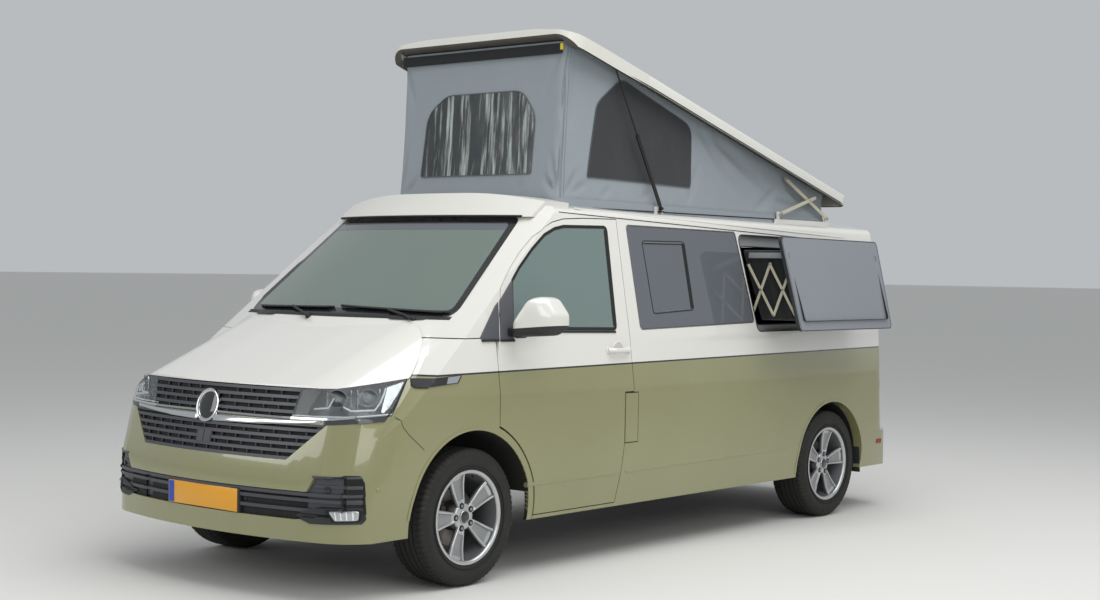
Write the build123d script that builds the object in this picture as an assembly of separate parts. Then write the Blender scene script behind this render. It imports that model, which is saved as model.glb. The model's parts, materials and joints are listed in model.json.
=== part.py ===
from build123d import *
import os
from math import atan2, cos, degrees, hypot, radians, sin, tan

# Camper van with a side-hinged pop-top and a slide-out window pod, in millimetres.
# +X forward, +Y left, +Z up; origin on the ground in the centre plane, midway between the bumpers.
# Lengthwise places are written from the front axle, ahead positive, and at() turns them into X.

# Driving dimensions of the vehicle
LENGTH = 5304.0
WHEELBASE = 3400.0
FRONT_OVERHANG = 908.0
HALF_TRACK = 814.0
HALF_WIDTH = 952.0
HALF_WIDTH_MIRRORS = 1148.5
TYRE_RADIUS = 340.0
TYRE_WIDTH = 235.0
RIM_RADIUS = 233.0
BEAD_RADIUS = 222.0

FRONT_AXLE_X = LENGTH / 2 - FRONT_OVERHANG
REAR_AXLE_X = FRONT_AXLE_X - WHEELBASE
HUB_Z = TYRE_RADIUS


def at(ahead):
    """X of a place given in mm ahead of the front axle."""
    return FRONT_AXLE_X + ahead


# Walls, gaps and heights
WALL = 60.0
GLASS = 6.0
GAP = 5.0
SILL_Z = 285.0
FLOOR_TOP = 560.0
FLOOR_THICK = 50.0
BUMPER_TOP_Z = 520.0
NOSE_BEND_Z = 600.0
CROWN_Z = 1946.0
ROOF_FALL = 0.010
SHUT_Z = 1856.0
SHUT_FALL = 0.032

# Plan curves
NOSE_RADIUS = 3008.0
NOSE_CORNER = 300.0
TAIL_RADIUS = 2500.0
TAIL_CORNER = 300.0
NOSE_LEAN = 0.25
TAIL_LEAN = 0.075
REAR_STEP = 45.0

# Windscreen cone, about an upright axis in the centre plane
CONE_X = at(-2100.0)
SCREEN_LOW = (2213.0, 1316.0)
SCREEN_SLOPE = 1.186

# Bonnet plane: height at the front overhang line and its rise per mm going back
BONNET_Z = 908.0
BONNET_RISE = 0.437
BONNET_SHOULDER = 400.0

FRONT_ARCH = 430.0
REAR_ARCH = 400.0
FLARE = 38.0


def prism_y(points, y0, y1, radius=0.0):
    """Solid between y0 and y1 over an outline of (x, z) points."""
    corners = [(x, y0, z) for x, z in points]
    line = FilletPolyline(*corners, radius=radius, close=True) if radius else Polyline(*corners, close=True)
    return extrude(make_face(line), y1 - y0, dir=(0, 1, 0))


def prism_x(points, x0, x1, radius=0.0):
    """Solid between x0 and x1 over an outline of (y, z) points."""
    corners = [(x0, y, z) for y, z in points]
    line = FilletPolyline(*corners, radius=radius, close=True) if radius else Polyline(*corners, close=True)
    return extrude(make_face(line), x1 - x0, dir=(1, 0, 0))


def block(x0, x1, y0, y1, z0, z1):
    return Pos((x0 + x1) / 2, (y0 + y1) / 2, (z0 + z1) / 2) * Box(x1 - x0, y1 - y0, z1 - z0)


def rod_y(x, z, radius, y0, y1):
    """Round bar along Y."""
    return Pos(x, (y0 + y1) / 2, z) * Rot(90, 0, 0) * Cylinder(radius, y1 - y0)


def both(shape):
    return shape + mirror(shape, about=Plane.XZ)


def side_section():
    """Half of the cross-section outline, (y, z, corner radius), at the roof's front end."""
    return [(925.0, SILL_Z, 15.0), (950.0, 480.0, 250.0), (HALF_WIDTH, 930.0, 500.0),
            (917.0, 1200.0, 1500.0), (799.0, 1890.0, 55.0), (430.0, CROWN_Z, 2200.0)]


def moved_in(corners, inset):
    """Anticlockwise outline of (u, v, radius) corners with every side moved in, or out if negative."""
    result = []
    for before, here, after in zip(corners[-1:] + corners[:-1], corners, corners[1:] + corners[:1]):
        first = Vector(here[0] - before[0], here[1] - before[1]).normalized().rotate(Axis.Z, 90)
        second = Vector(after[0] - here[0], after[1] - here[1]).normalized().rotate(Axis.Z, 90)
        step = (first + second) * (inset / (1 + first.dot(second)))
        result.append((here[0] + step.X, here[1] + step.Y, max(here[2] - inset, here[2] / 4)))
    return result


def tilted(x, slope):
    """Cross-section plane at x, square to a line that rises by slope going forward."""
    return Plane(origin=(x, 0, 0), x_dir=(0, 1, 0), z_dir=(1, 0, slope))


def filleted(corners, plane):
    """Face on a plane from (u, v, radius) corners."""
    line = FilletPolyline(*[(u, v) for u, v, r in corners], radius=[r for u, v, r in corners], close=True)
    return plane * make_face(line)


def with_mirror(half):
    return half + [(-y, z, r) for y, z, r in reversed(half)]


def section_form(inset):
    """Long solid with the van's cross-section, falling gently towards the tail."""
    x0 = LENGTH / 2 + 300
    lift = ROOF_FALL * (x0 - at(-1000))
    below = 2 * inset + (100 if inset else 0)
    half = [(y, z + lift if z > SILL_Z else z - below, r) for y, z, r in side_section()]
    face = filleted(moved_in(with_mirror(half), inset), tilted(x0, ROOF_FALL))
    return extrude(face, -LENGTH - 600)


def nose_form(inset, lean, low):
    """Bowed nose with round corners, down to low; it leans back about the bend line."""
    half = HALF_WIDTH + 2 - inset
    bow = Pos(-NOSE_RADIUS, 0) * Circle(NOSE_RADIUS - inset)
    face = bow & (Pos(-1400, 0) * Rectangle(3200, 2 * half))
    face = fillet(face.vertices().group_by(Axis.X)[-1], NOSE_CORNER - inset)
    face = Plane(origin=(LENGTH / 2, 0, NOSE_BEND_Z), x_dir=(1, 0, lean), z_dir=(-lean, 0, 1)) * face
    return extrude(face, 3200, both=True) & block(0, LENGTH, -half - 9, half + 9, low, 2200)


def tail_form(inset, step, lean, low, high):
    """Bowed tail with round corners, set in by step and leaning forward by lean."""
    half = HALF_WIDTH + 2 - inset
    bow = Pos(TAIL_RADIUS, 0) * Circle(TAIL_RADIUS - inset)
    face = bow & (Pos(1400, 0) * Rectangle(3200, 2 * half))
    face = fillet(face.vertices().group_by(Axis.X)[0], TAIL_CORNER - inset)
    face = Plane(origin=(-LENGTH / 2 + step, 0, low), x_dir=(1, 0, -lean), z_dir=(lean, 0, 1)) * face
    return extrude(face, 3200, both=True) & block(-LENGTH, 0, -half - 9, half + 9, low, high)


def cone_form(shift):
    """Everything behind the windscreen cone, which is moved forward by shift."""
    r0 = SCREEN_LOW[0] + shift + SCREEN_SLOPE * (SCREEN_LOW[1] - 200)
    r1 = SCREEN_LOW[0] + shift + SCREEN_SLOPE * (SCREEN_LOW[1] - 2100)
    cone = Pos(CONE_X, 0, 1150) * Cone(r0, r1, 1900)
    return cone + block(-LENGTH, CONE_X, -1200, 1200, 200, 2100)


def bonnet_form(inset):
    """Everything below the bonnet plane, with its round shoulders."""
    top = BONNET_Z / hypot(1, BONNET_RISE) - inset
    side = 930.0 - inset
    half = [(side, -900.0, 0.0), (side, top - 30, BONNET_SHOULDER - inset), (300.0, top, 2500.0)]
    return extrude(filleted(with_mirror(half), tilted(at(1000), -BONNET_RISE)), -3200)


def body_form(inset=0.0):
    """The van's outer form, or the same form moved inwards and left open below."""
    slant = hypot(1, SCREEN_SLOPE)
    bottom = SILL_Z - (inset + 50 if inset else 0)
    section = section_form(inset)
    nose = section & nose_form(inset, 0, bottom) & nose_form(inset, NOSE_LEAN, bottom)
    nose = (nose & bonnet_form(inset)) + (nose & cone_form(-inset * slant))
    tail = section & tail_form(inset, 0, 0, bottom, BUMPER_TOP_Z)
    tail += section & tail_form(inset, REAR_STEP, TAIL_LEAN, BUMPER_TOP_Z, 2200)
    return nose + tail


# Panel outlines seen from the side, (mm ahead of the front axle, z), anticlockwise seen from the right
DOOR = [(-190, 1120), (-222, 1275), (-268, 1466), (-386, 1570), (-480, 1649), (-586, 1731), (-672, 1785), (-740, 1811),
        (-829, 1829), (-994, 1838), (-1285, 1842), (-1285, 905), (-1207, 905), (-1207, 620), (-1150, 308), (-190, 308)]
DOOR_WINDOW = [(-325, 1262), (-358, 1500), (-424, 1567), (-542, 1664), (-658, 1743), (-748, 1778), (-825, 1792),
               (-1190, 1798), (-1172, 1245)]
MID_WINDOW = [(-1372, 1815), (-2452, 1804), (-2546, 1262), (-1394, 1238)]
POD_HOLE = [(-2488, 1782), (-3640, 1772), (-3700, 1215), (-2582, 1215)]
POD_RIM = [(-2530, 1722), (-3612, 1712), (-3664, 1245), (-2612, 1245)]
POD_TUNNEL = [(-2553, 1700), (-3596, 1692), (-3642, 1275), (-2624, 1275)]
SLIDE_WINDOW = [(-1400, 1790), (-2372, 1785), (-2372, 1262), (-1400, 1240)]
SLIDE_DOOR = [(-1330, 1830), (-2440, 1805), (-2440, 320), (-1330, 320)]
REAR_WINDOW = [(-2535, 1775), (-3640, 1765), (-3700, 1240), (-2575, 1240)]
A_LINE = [(-183, 200), (-183, 1120), (-215, 1275), (-261, 1466), (-379, 1570), (-473, 1649), (-579, 1731), (-665, 1785),
          (-715, 1806), (-715, 2100), (1000, 2100), (1000, 200)]
FLAP = [(-1216, 895), (-1326, 895), (-1326, 628), (-1216, 628)]
FLAP_THICK = 12.0

# Front view outlines, (y, z)
SCREEN = [(778, 1312), (668, 1838), (-668, 1838), (-778, 1312)]
PLATE = (262.0, 390.0, 500.0)
TOW_EYE = (-480.0, 462.0)
TOW_RADIUS = 11.0
GRILLE_TOP = [(545, 985), (-545, 985), (-512, 838), (512, 838)]
GRILLE_LOW = [(722, 826), (-722, 826), (-535, 656), (535, 656)]
INTAKE = [(665, 517), (-665, 517), (-705, 585), (-850, 598), (-850, 408), (-600, 385),
          (600, 385), (850, 408), (850, 598), (705, 585)]
TAILGATE = [(800, 540), (812, 1100), (712, 1745), (-712, 1745), (-812, 1100), (-800, 540)]
TAIL_WINDOW = [(690, 1215), (618, 1735), (-618, 1735), (-690, 1215)]

LAMP_SIDE = [(345, 1032), (508, 862), (1000, 846), (1000, 986), (700, 988)]
BUMPER_EDGE = 385.0
REAR_BUMPER_EDGE = -3752.0
TAIL_LAMP = (-4035.0, 775.0, 1082.0)
TAIL_LAMP_INNER = 822.0
BONNET_EDGE = (812.0, 835.0)
BONNET_FRONT_Z = 990.0
COWL_GAP = 25.0
NOSE_WALL = 30.0
SLAT = 7.5
LINER_Y = 470.0


def side_prism(outline, y0, y1, grow=0.0, radius=0.0):
    """Prism along Y over a side outline, which may be grown all round."""
    points = [(at(ahead), z) for ahead, z in outline]
    if grow:
        points = grown(points, grow)
    return prism_y(points, y0, y1, radius)


def grown(points, amount):
    """Outline with every side moved out by amount, whichever way round it runs."""
    area = sum(a[0] * b[1] - b[0] * a[1] for a, b in zip(points, points[1:] + points[:1]))
    moved = moved_in([(u, v, 0.0) for u, v in points], -amount if area > 0 else amount)
    return [(u, v) for u, v, _ in moved]


def arch(x, radius, y0, y1):
    return rod_y(x, HUB_Z, radius, y0, y1)


def shut_form():
    """Everything above the line where the sides meet the roof."""
    return prism_y([(at(1000), SHUT_Z + SHUT_FALL * 2150), (at(-4700), SHUT_Z - SHUT_FALL * 3550),
                    (at(-4700), 2300), (at(1000), 2300)], -1200, 1200)


OUTSIDE = body_form()
INSIDE = body_form(WALL)
UNDER_SKIN = body_form(NOSE_WALL)
SHELL = OUTSIDE - INSIDE
THIN_SHELL = OUTSIDE - UNDER_SKIN
PANE = body_form(2) - body_form(2 + GLASS)
SHUT = shut_form()
FRONT_PART = side_prism(A_LINE, -1200, 1200)
NODES = {}


def body_left():
    """Fixed left side with its sill, before the arch and the openings are cut."""
    wall = SHELL & block(-LENGTH, at(-183), 300, 1200, 0, 2100)
    wall = wall - SHUT - FRONT_PART
    wall -= side_prism(DOOR, 300, 1200, GAP)
    wall -= arch(FRONT_AXLE_X, FRONT_ARCH + FLARE + GAP, 300, 1200)
    wall -= prism_x(grown(TAILGATE, GAP), -LENGTH, at(-3900))
    wall -= block(-LENGTH, at(-3900), 0, TAILGATE[2][0] + GAP, TAILGATE[2][1], 2000)
    wall -= block(-LENGTH, at(REAR_BUMPER_EDGE), 300, 1200, 0, BUMPER_TOP_Z)
    wall -= arch(REAR_AXLE_X, REAR_ARCH, 300, 1200)
    x_lamp, z0, z1 = TAIL_LAMP
    return wall - block(-LENGTH, at(x_lamp), TAIL_LAMP_INNER, 1200, z0, z1)


def sides():
    wall = body_left()
    left = wall - side_prism(MID_WINDOW, 300, 1200, radius=22) - side_prism(POD_HOLE, 300, 1200, GAP, 40)
    left -= side_prism(FLAP, HALF_WIDTH - FLAP_THICK - 4 * GAP, 1200, GAP)
    NODES["filler_flap"] = (OUTSIDE - body_form(FLAP_THICK)) & side_prism(FLAP, 300, 1200)
    right = mirror(wall, about=Plane.XZ) - side_prism(SLIDE_DOOR, -1200, -300, GAP)
    right -= side_prism(REAR_WINDOW, -1200, -300, radius=40)
    slide = mirror(SHELL & side_prism(SLIDE_DOOR, 300, 1200), about=Plane.XZ)
    slide -= side_prism(SLIDE_WINDOW, -1200, -300, radius=22)
    NODES["side_left"] = left
    NODES["side_right"] = right
    NODES["sliding_door"] = slide
    glass = PANE & side_prism(MID_WINDOW, 300, 1200, radius=22)
    glass += PANE & side_prism(SLIDE_WINDOW, -1200, -300, radius=22)
    glass += PANE & side_prism(REAR_WINDOW, -1200, -300, radius=40)
    NODES["side_glass"] = glass


def doors():
    door = SHELL & side_prism(DOOR, 300, 1200)
    door -= arch(FRONT_AXLE_X, FRONT_ARCH + FLARE + 2 * GAP, 300, 1200)
    window = side_prism(DOOR_WINDOW, 300, 1200, radius=25)
    NODES["door_left"] = door - window
    NODES["door_right"] = mirror(door - window, about=Plane.XZ)
    NODES["door_left_glass"] = PANE & window
    NODES["door_right_glass"] = mirror(PANE & window, about=Plane.XZ)


def tail():
    gate_form = prism_x(TAILGATE, -LENGTH, at(-3900))
    window = prism_x(TAIL_WINDOW, -LENGTH, at(-3900), 30)
    NODES["tailgate"] = (SHELL & gate_form) - window
    NODES["tailgate_glass"] = PANE & window
    x_lamp, z0, z1 = TAIL_LAMP
    lamp = SHELL & block(-LENGTH, at(x_lamp), TAIL_LAMP_INNER, 1200, z0, z1)
    NODES["tail_lamps"] = both(lamp)
    bumper = SHELL & block(-LENGTH, at(REAR_BUMPER_EDGE), -1200, 1200, 0, BUMPER_TOP_Z)
    NODES["rear_bumper"] = bumper - both(arch(REAR_AXLE_X, REAR_ARCH, 300, 1200))


def nose():
    bonnet_edge = BONNET_EDGE
    cone = cone_form(COWL_GAP)
    front = block(at(-183), LENGTH, -1200, 1200, 0, 2100)
    plan = [(at(-250), bonnet_edge[0]), (at(450), bonnet_edge[1]), (at(1000), bonnet_edge[1])]
    corners = [(x, y, 0) for x, y in plan] + [(x, -y, 0) for x, y in reversed(plan)]
    bonnet_zone = extrude(make_face(Polyline(*corners, close=True)), 2000)
    bonnet_zone &= block(at(-400), LENGTH, -1200, 1200, BONNET_FRONT_Z, 2100)
    wide = [(at(-250), bonnet_edge[0] + GAP), (at(450), bonnet_edge[1] + GAP), (at(1000), bonnet_edge[1] + GAP)]
    corners = [(x, y, 0) for x, y in wide] + [(x, -y, 0) for x, y in reversed(wide)]
    bonnet_gap = extrude(make_face(Polyline(*corners, close=True)), 2000)
    bonnet_gap &= block(at(-400), LENGTH, -1200, 1200, BONNET_FRONT_Z - GAP, 2100)
    bonnet_gap -= cone_form(COWL_GAP - GAP)
    grille_zone = prism_x(GRILLE_TOP, at(400), at(1100)) + prism_x(GRILLE_LOW, at(400), at(1100))
    lamp_zone = both(side_prism(LAMP_SIDE, 450, 1200)) - prism_x(GRILLE_TOP, at(0), at(1200))
    intake_zone = prism_x(INTAKE, at(500), at(1100))
    NODES["bonnet"] = (THIN_SHELL & front & bonnet_zone) - cone - lamp_zone - grille_zone
    rest = (THIN_SHELL & front) - bonnet_gap - lamp_zone - grille_zone
    rest -= cone_form(COWL_GAP - GAP) & block(-LENGTH, LENGTH, -1200, 1200, 1215, 2100)
    arches = both(arch(FRONT_AXLE_X, FRONT_ARCH, 300, 1200))
    rest -= arches
    ahead = block(at(BUMPER_EDGE), LENGTH, -1200, 1200, 0, 900)
    NODES["front_bumper"] = (rest & ahead) - intake_zone
    wing = (rest - ahead) & block(at(-183), LENGTH, 300, 1200, 0, 1215)
    wing += (THIN_SHELL & arch(FRONT_AXLE_X, FRONT_ARCH + FLARE, 300, 1200)) - arches - ahead
    liner = arch(FRONT_AXLE_X, FRONT_ARCH + 10, LINER_Y + 10, 925) - arch(FRONT_AXLE_X, FRONT_ARCH, LINER_Y + 5, 930)
    liner += arch(FRONT_AXLE_X, FRONT_ARCH + 10, LINER_Y, LINER_Y + 10)
    liner &= block(at(-600), at(BUMPER_EDGE), 300, 1200, HUB_Z + 90, 1200)
    liner &= UNDER_SKIN
    wing += liner
    wing = Part() + max(wing.solids(), key=lambda solid: solid.volume)
    NODES["wing_left"] = wing
    NODES["wing_right"] = mirror(wing, about=Plane.XZ)
    NODES["headlamps"] = SHELL & lamp_zone & front
    back = body_form(14) - body_form(36)
    grille = back & grille_zone
    for z in [664, 697, 730, 763, 796, 822, 842, 876, 910, 944, 978]:
        grille += (THIN_SHELL & grille_zone) & block(at(400), LENGTH, -800, 800, z - SLAT, z + SLAT)
    NODES["grille"] = grille
    low = back & intake_zone
    for z in [432, 478, 505]:
        low += (THIN_SHELL & intake_zone) & block(at(400), LENGTH, -840, 840, z - 8, z + 8)
    low += block(at(870), at(FRONT_OVERHANG), -PLATE[0], PLATE[0], *PLATE[1:])
    eye_way = block(at(500), at(1100), TOW_EYE[0] - 3 * TOW_RADIUS, TOW_EYE[0] + 3 * TOW_RADIUS, 300, 700)
    NODES["lower_intake"] = low - eye_way
    frame = (SHELL & cone_form(COWL_GAP - 2 * GAP) & FRONT_PART) - SHUT
    frame &= block(at(-900), LENGTH, -1200, 1200, 1215 + GAP, 2100)
    frame -= prism_x(SCREEN, at(-900), at(400), 45)
    bulkhead = INSIDE & block(at(-80), at(-40), -880, 880, FLOOR_TOP, 1240)
    bulkhead += INSIDE & block(at(-80), at(60), -820, 820, 1195, 1225)
    bulkhead -= both(arch(FRONT_AXLE_X, FRONT_ARCH + 15, LINER_Y - 5, 1200))
    NODES["front_frame"] = frame
    NODES["bulkhead"] = bulkhead
    NODES["windscreen"] = PANE & prism_x(SCREEN, at(-900), at(400), 45)
    engine = block(at(110), at(620), -380, 300, 345, 850)
    NODES["engine"] = engine


# Pop-top, open as in the photograph; u runs back from the shell's nose, w up from its rim's lower edge
OPEN_TILT = 15.0
TOP_LENGTH = 3008.0
TOP_HALF = 745.0
TOP_HALF_NOSE = 705.0
RIM_HEIGHT = 77.0
TOP_CROWN = 26.0
TOP_SKIN = 22.0
NOSE_OPEN = (-985.0, 2790.6)
NOSE_SHUT = (-990.0, 1908.0)
RING_TOP = 1950.0
RING_FALL = 0.010
RING_WIDTH = 30.0
CANVAS_HALF = 655.0
CANVAS_NOSE_HALF = 615.0
CANVAS_WALL = 8.0
CANVAS_ENDS = (-1012.0, -3770.0)


def swing_centre():
    """Axis that carries the shell from shut to open, (ahead, z)."""
    mid = ((NOSE_OPEN[0] + NOSE_SHUT[0]) / 2, (NOSE_OPEN[1] + NOSE_SHUT[1]) / 2)
    du, dw = NOSE_OPEN[0] - NOSE_SHUT[0], NOSE_OPEN[1] - NOSE_SHUT[1]
    reach = 1 / (2 * tan(radians(OPEN_TILT / 2)))
    return mid[0] - dw * reach, mid[1] + du * reach


def on_shell(u, w):
    """Open place, (ahead, z), of a point given on the shut shell."""
    c, s = cos(radians(OPEN_TILT)), sin(radians(OPEN_TILT))
    return NOSE_OPEN[0] - u * c - w * s, NOSE_OPEN[1] - u * s + w * c


def opened(shape):
    """Turn a solid from its place on the shut shell to its open place."""
    x, z = swing_centre()
    pivot = Pos(at(x), 0, z)
    return pivot * Rot(0, -OPEN_TILT, 0) * pivot.inverse() * shape


def shell_outline(inset, z, height):
    """Plan of the shell, narrower at its nose, as a solid from z upwards."""
    nose, tail = at(NOSE_SHUT[0]) - inset, at(NOSE_SHUT[0]) - TOP_LENGTH + inset
    points = [(nose, TOP_HALF_NOSE - inset), (nose - 700, TOP_HALF - inset), (tail, TOP_HALF - inset)]
    corners = [(x, y, z) for x, y in points] + [(x, -y, z) for x, y in reversed(points)]
    radii = [130 - inset, 900, 60 - inset, 60 - inset, 900, 130 - inset]
    return extrude(make_face(FilletPolyline(*corners, radius=radii, close=True)), height)


def shell_section(inset):
    """Rounded rim and crowned top of the shell, as a long solid."""
    low = NOSE_SHUT[1] - (50 if inset else 0)
    rim, top = NOSE_SHUT[1] + RIM_HEIGHT - inset, NOSE_SHUT[1] + RIM_HEIGHT + TOP_CROWN - inset
    half = [(TOP_HALF + 5 - inset, low, 1.0), (TOP_HALF + 5 - inset, rim - 4, 36 - inset), (430.0, top, 1500.0)]
    x0 = at(NOSE_SHUT[0]) + 200
    return extrude(filleted(with_mirror(half), tilted(x0, 0)), -TOP_LENGTH - 500)


def pop_top():
    z = NOSE_SHUT[1]
    outer = shell_outline(0, z, 200) & shell_section(0)
    slope = [(NOSE_SHUT[0] - 95, z - 1), (NOSE_SHUT[0] + 1, z + RIM_HEIGHT * 0.8), (0, z + 60), (0, z - 1)]
    outer -= side_prism(slope, -900, 900)
    outer = outer - section_form(-12) - canvas_plan(-12, 1850, RING_TOP + 10 - 1850)
    inner = shell_outline(TOP_SKIN, z - 30, 200) & shell_section(TOP_SKIN)
    inner &= block(-LENGTH, at(NOSE_SHUT[0]) - 120, -900, 900, z - 60, z + 300)
    NODES["roof_shell"] = opened(outer - inner)


def below_ring(lift=0.0):
    """Everything below the top of the ring that the canvas stands on."""
    front, rear = at(CANVAS_ENDS[0] + 200), at(CANVAS_ENDS[1] - 200)
    top = RING_TOP + 200 * RING_FALL + lift
    return prism_y([(front, top), (front, 1000), (rear, 1000), (rear, top - RING_FALL * (front - rear))], -900, 900)


def canvas_plan(inset, z, height):
    front, rear = at(CANVAS_ENDS[0]) - inset, at(CANVAS_ENDS[1]) + inset
    points = [(front, CANVAS_NOSE_HALF - inset), (front - 450, CANVAS_HALF - inset), (rear, CANVAS_HALF - inset)]
    corners = [(x, y, z) for x, y in points] + [(x, -y, z) for x, y in reversed(points)]
    radii = [45 - min(inset, 30), 700, 60 - min(inset, 30)]
    return extrude(make_face(FilletPolyline(*corners, radius=radii + radii[::-1], close=True)), height)


def canvas():
    """Tent wall between the ring on the roof and the underside of the open shell."""
    tall = canvas_plan(0, 1800, 1300) - canvas_plan(CANVAS_WALL, 1790, 1320)
    x, z = at(NOSE_SHUT[0]), NOSE_SHUT[1]
    under = block(x - TOP_LENGTH - 400, x + 300, -900, 900, z - 2500, z + 38)
    NODES["canvas"] = (tall & opened(under)) - below_ring(1.0)


def roof():
    above = (THIN_SHELL & SHUT) - FRONT_PART
    above += (SHELL & SHUT) & block(-LENGTH, LENGTH, -1200, 1200, 0, 1885)
    above -= FRONT_PART
    hole = block(at(-3050), at(-1080), -560, 560, 1500, 2200)
    ring = (canvas_plan(-4, 1800, 200) - canvas_plan(RING_WIDTH, 1790, 300)) & below_ring()
    ring -= body_form(NOSE_WALL - 5)
    NODES["roof"] = (above - hole) + ring
    front = cone_form(30) & section_form(-22) & block(at(-962), LENGTH, -735, 735, 1838, 2100)
    NODES["roof_cap"] = front - OUTSIDE


STRUT_FOOT = (-1870.0, 1927.0)
STRUT_EYE = (440.0, 25.0)
STRUT_TUBE = 455.0
STRUT_Y = 686.0
BARS_A = ((-3736.0, 1930.0), (-3219.0, 2168.0))
BARS_B = ((-3150.0, 1944.0), (-3560.0, 2060.0))


def struts():
    """Gas struts and rear scissor bars beside the canvas, drawn open."""
    foot, eye = STRUT_FOOT, on_shell(*STRUT_EYE)
    angle = degrees(atan2(eye[1] - foot[1], eye[0] - foot[0]))
    length = hypot(eye[0] - foot[0], eye[1] - foot[1])
    frame = Pos(at(foot[0]), STRUT_Y, foot[1]) * Rot(0, -angle, 0)
    tube = Pos(20 + STRUT_TUBE / 2, 0, 0) * Rot(0, 90, 0) * Cylinder(11, STRUT_TUBE)
    tube = tube + Rot(90, 0, 0) * Cylinder(12, 14) + Pos(17, 0, 0) * Box(34, 10, 14)
    tube -= Rot(90, 0, 0) * Cylinder(5.3, 20)
    tube -= Pos(40 + STRUT_TUBE / 2, 0, 0) * Rot(0, 90, 0) * Cylinder(7, STRUT_TUBE)
    rod = Pos((length + STRUT_TUBE) / 2, 0, 0) * Rot(0, 90, 0) * Cylinder(5, length - STRUT_TUBE)
    eye_ring = Pos(length, 0, 0) * Rot(90, 0, 0) * (Cylinder(11, 10) - Cylinder(6, 20))
    rod = rod - Pos(length, 0, 0) * Rot(90, 0, 0) * Cylinder(8, 30) + eye_ring
    NODES["strut_tubes"] = both(frame * tube)
    NODES["strut_rods"] = both(frame * rod)
    for name, y, (low, high) in (("scissor_bars_a", 686.0, BARS_A), ("scissor_bars_b", 700.0, BARS_B)):
        turn = degrees(atan2(high[1] - low[1], high[0] - low[0]))
        span = hypot(high[0] - low[0], high[1] - low[1])
        bar = Pos(span / 2, 0, 0) * Box(span, 6, 22) + Rot(90, 0, 0) * Cylinder(11, 6)
        bar += Pos(span, 0, 0) * Rot(90, 0, 0) * Cylinder(11, 6)
        bar -= Rot(90, 0, 0) * Cylinder(5.3, 20)
        NODES[name] = both(Pos(at(low[0]), y, low[1]) * Rot(0, -turn, 0) * bar)
    pins = block(at(BARS_A[0][0] - 40), at(BARS_B[0][0] + 40), 672, 680, 1840, 1908) - OUTSIDE
    for (x, z), y in ((BARS_A[0], 692.0), (BARS_B[0], 706.0)):
        pins += block(at(x - 14), at(x + 14), 672, 680, 1890, z + 12) + rod_y(at(x), z, 5, 676, y)
    foot_plate = block(at(foot[0] - 40), at(foot[0] + 40), 664, 674, 1870, foot[1] + 12) - OUTSIDE
    pins += foot_plate + rod_y(at(foot[0]), foot[1], 5, 670, STRUT_Y + 9)
    NODES["roof_brackets"] = both(pins)


# Slide-out pod in the rear window of the left side
POD_REACH = 300.0
POD_SKIN = 24.0


def lattice_bars(x, slope):
    """Crossed flat bars along a pod end wall, in two layers, that lean with the opening's edge."""
    low, high, pitch = 1306.0, 1617.0, 154.0
    turn, span = degrees(atan2(high - low, pitch)), hypot(pitch, high - low)
    bars = []
    for k in range(2):
        middle = 932.0 + k * pitch
        for layer, sign in ((0.0, 1), (5.0, -1)):
            bar = Pos(layer, middle, (low + high) / 2) * Rot(sign * turn, 0, 0)
            bars += [bar * Box(4.0, span - 4, 16)]
        bars += [Pos(2.5, middle, (low + high) / 2) * Rot(0, 90, 0) * Cylinder(6, 10)]
    for z in (low, high):
        bars += [Pos(2.5, 932.0 + pitch / 2, z) * Rot(0, 90, 0) * Cylinder(9, 9)]
    result = bars[0]
    for bar in bars[1:]:
        result += bar
    return Pos(x, 0, 1500) * Rot(0, degrees(atan2(slope, 1)), 0) * Pos(0, 0, -1500) * result


def pod():
    shift = Pos(0, POD_REACH, 0)
    panel = (OUTSIDE - body_form(POD_SKIN)) & side_prism(POD_HOLE, 300, 1200, radius=35)
    NODES["pod_panel"] = shift * panel
    ring = side_prism(POD_HOLE, 300, 1200, GAP, 40) - side_prism(POD_RIM, 200, 1300, radius=25)
    NODES["pod_frame"] = (body_form(POD_SKIN + GAP) - body_form(WALL + 15)) & ring
    reach = shift * body_form(POD_SKIN + 4)
    tunnel = side_prism(POD_TUNNEL, 790, 1190, 0, 20) - side_prism(POD_TUNNEL, 700, 1300, -6, 16)
    NODES["pod_bellows"] = (tunnel & reach) - body_form(WALL)
    lattice = lattice_bars(at(-2534) - 31, 0.168) + lattice_bars(at(-3669) + 31, 0.109)
    NODES["pod_lattice"] = (lattice & reach) - body_form(POD_SKIN + GAP - 1)


def mirrors():
    head = Pos(at(-370), HALF_WIDTH_MIRRORS - 92.5, 1322) * Box(150, 185, 205)
    head = fillet(head.edges().filter_by(Axis.X), 55)
    head = fillet(head.edges(), 24)
    arm = block(at(-345), at(-285), 880, 1010, 1228, 1262)
    foot = side_prism([(-232, 1238), (-300, 1395), (-350, 1395), (-350, 1238)], 860, 960)
    part = (head + (arm + (foot & body_form(-10)))) - OUTSIDE
    NODES["mirror_left"] = part
    NODES["mirror_right"] = mirror(part, about=Plane.XZ)


# Running gear; y is measured for the left side
KINGPIN_Y = 735.0
STUB_RADIUS = 30.0
BORE_RADIUS = 30.3
HUB_FACE_Y = 896.0
DISC_RADIUS = 150.0
DISC_Y = 775.0


def round_y(profile, x, z):
    """Turned solid about the Y line through (x, z), from (radius, y) points."""
    corners = [(r, y) for r, y in profile]
    face = make_face(Polyline(*corners, close=True))
    return Pos(x, 0, z) * revolve(face, Axis.Y)


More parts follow.
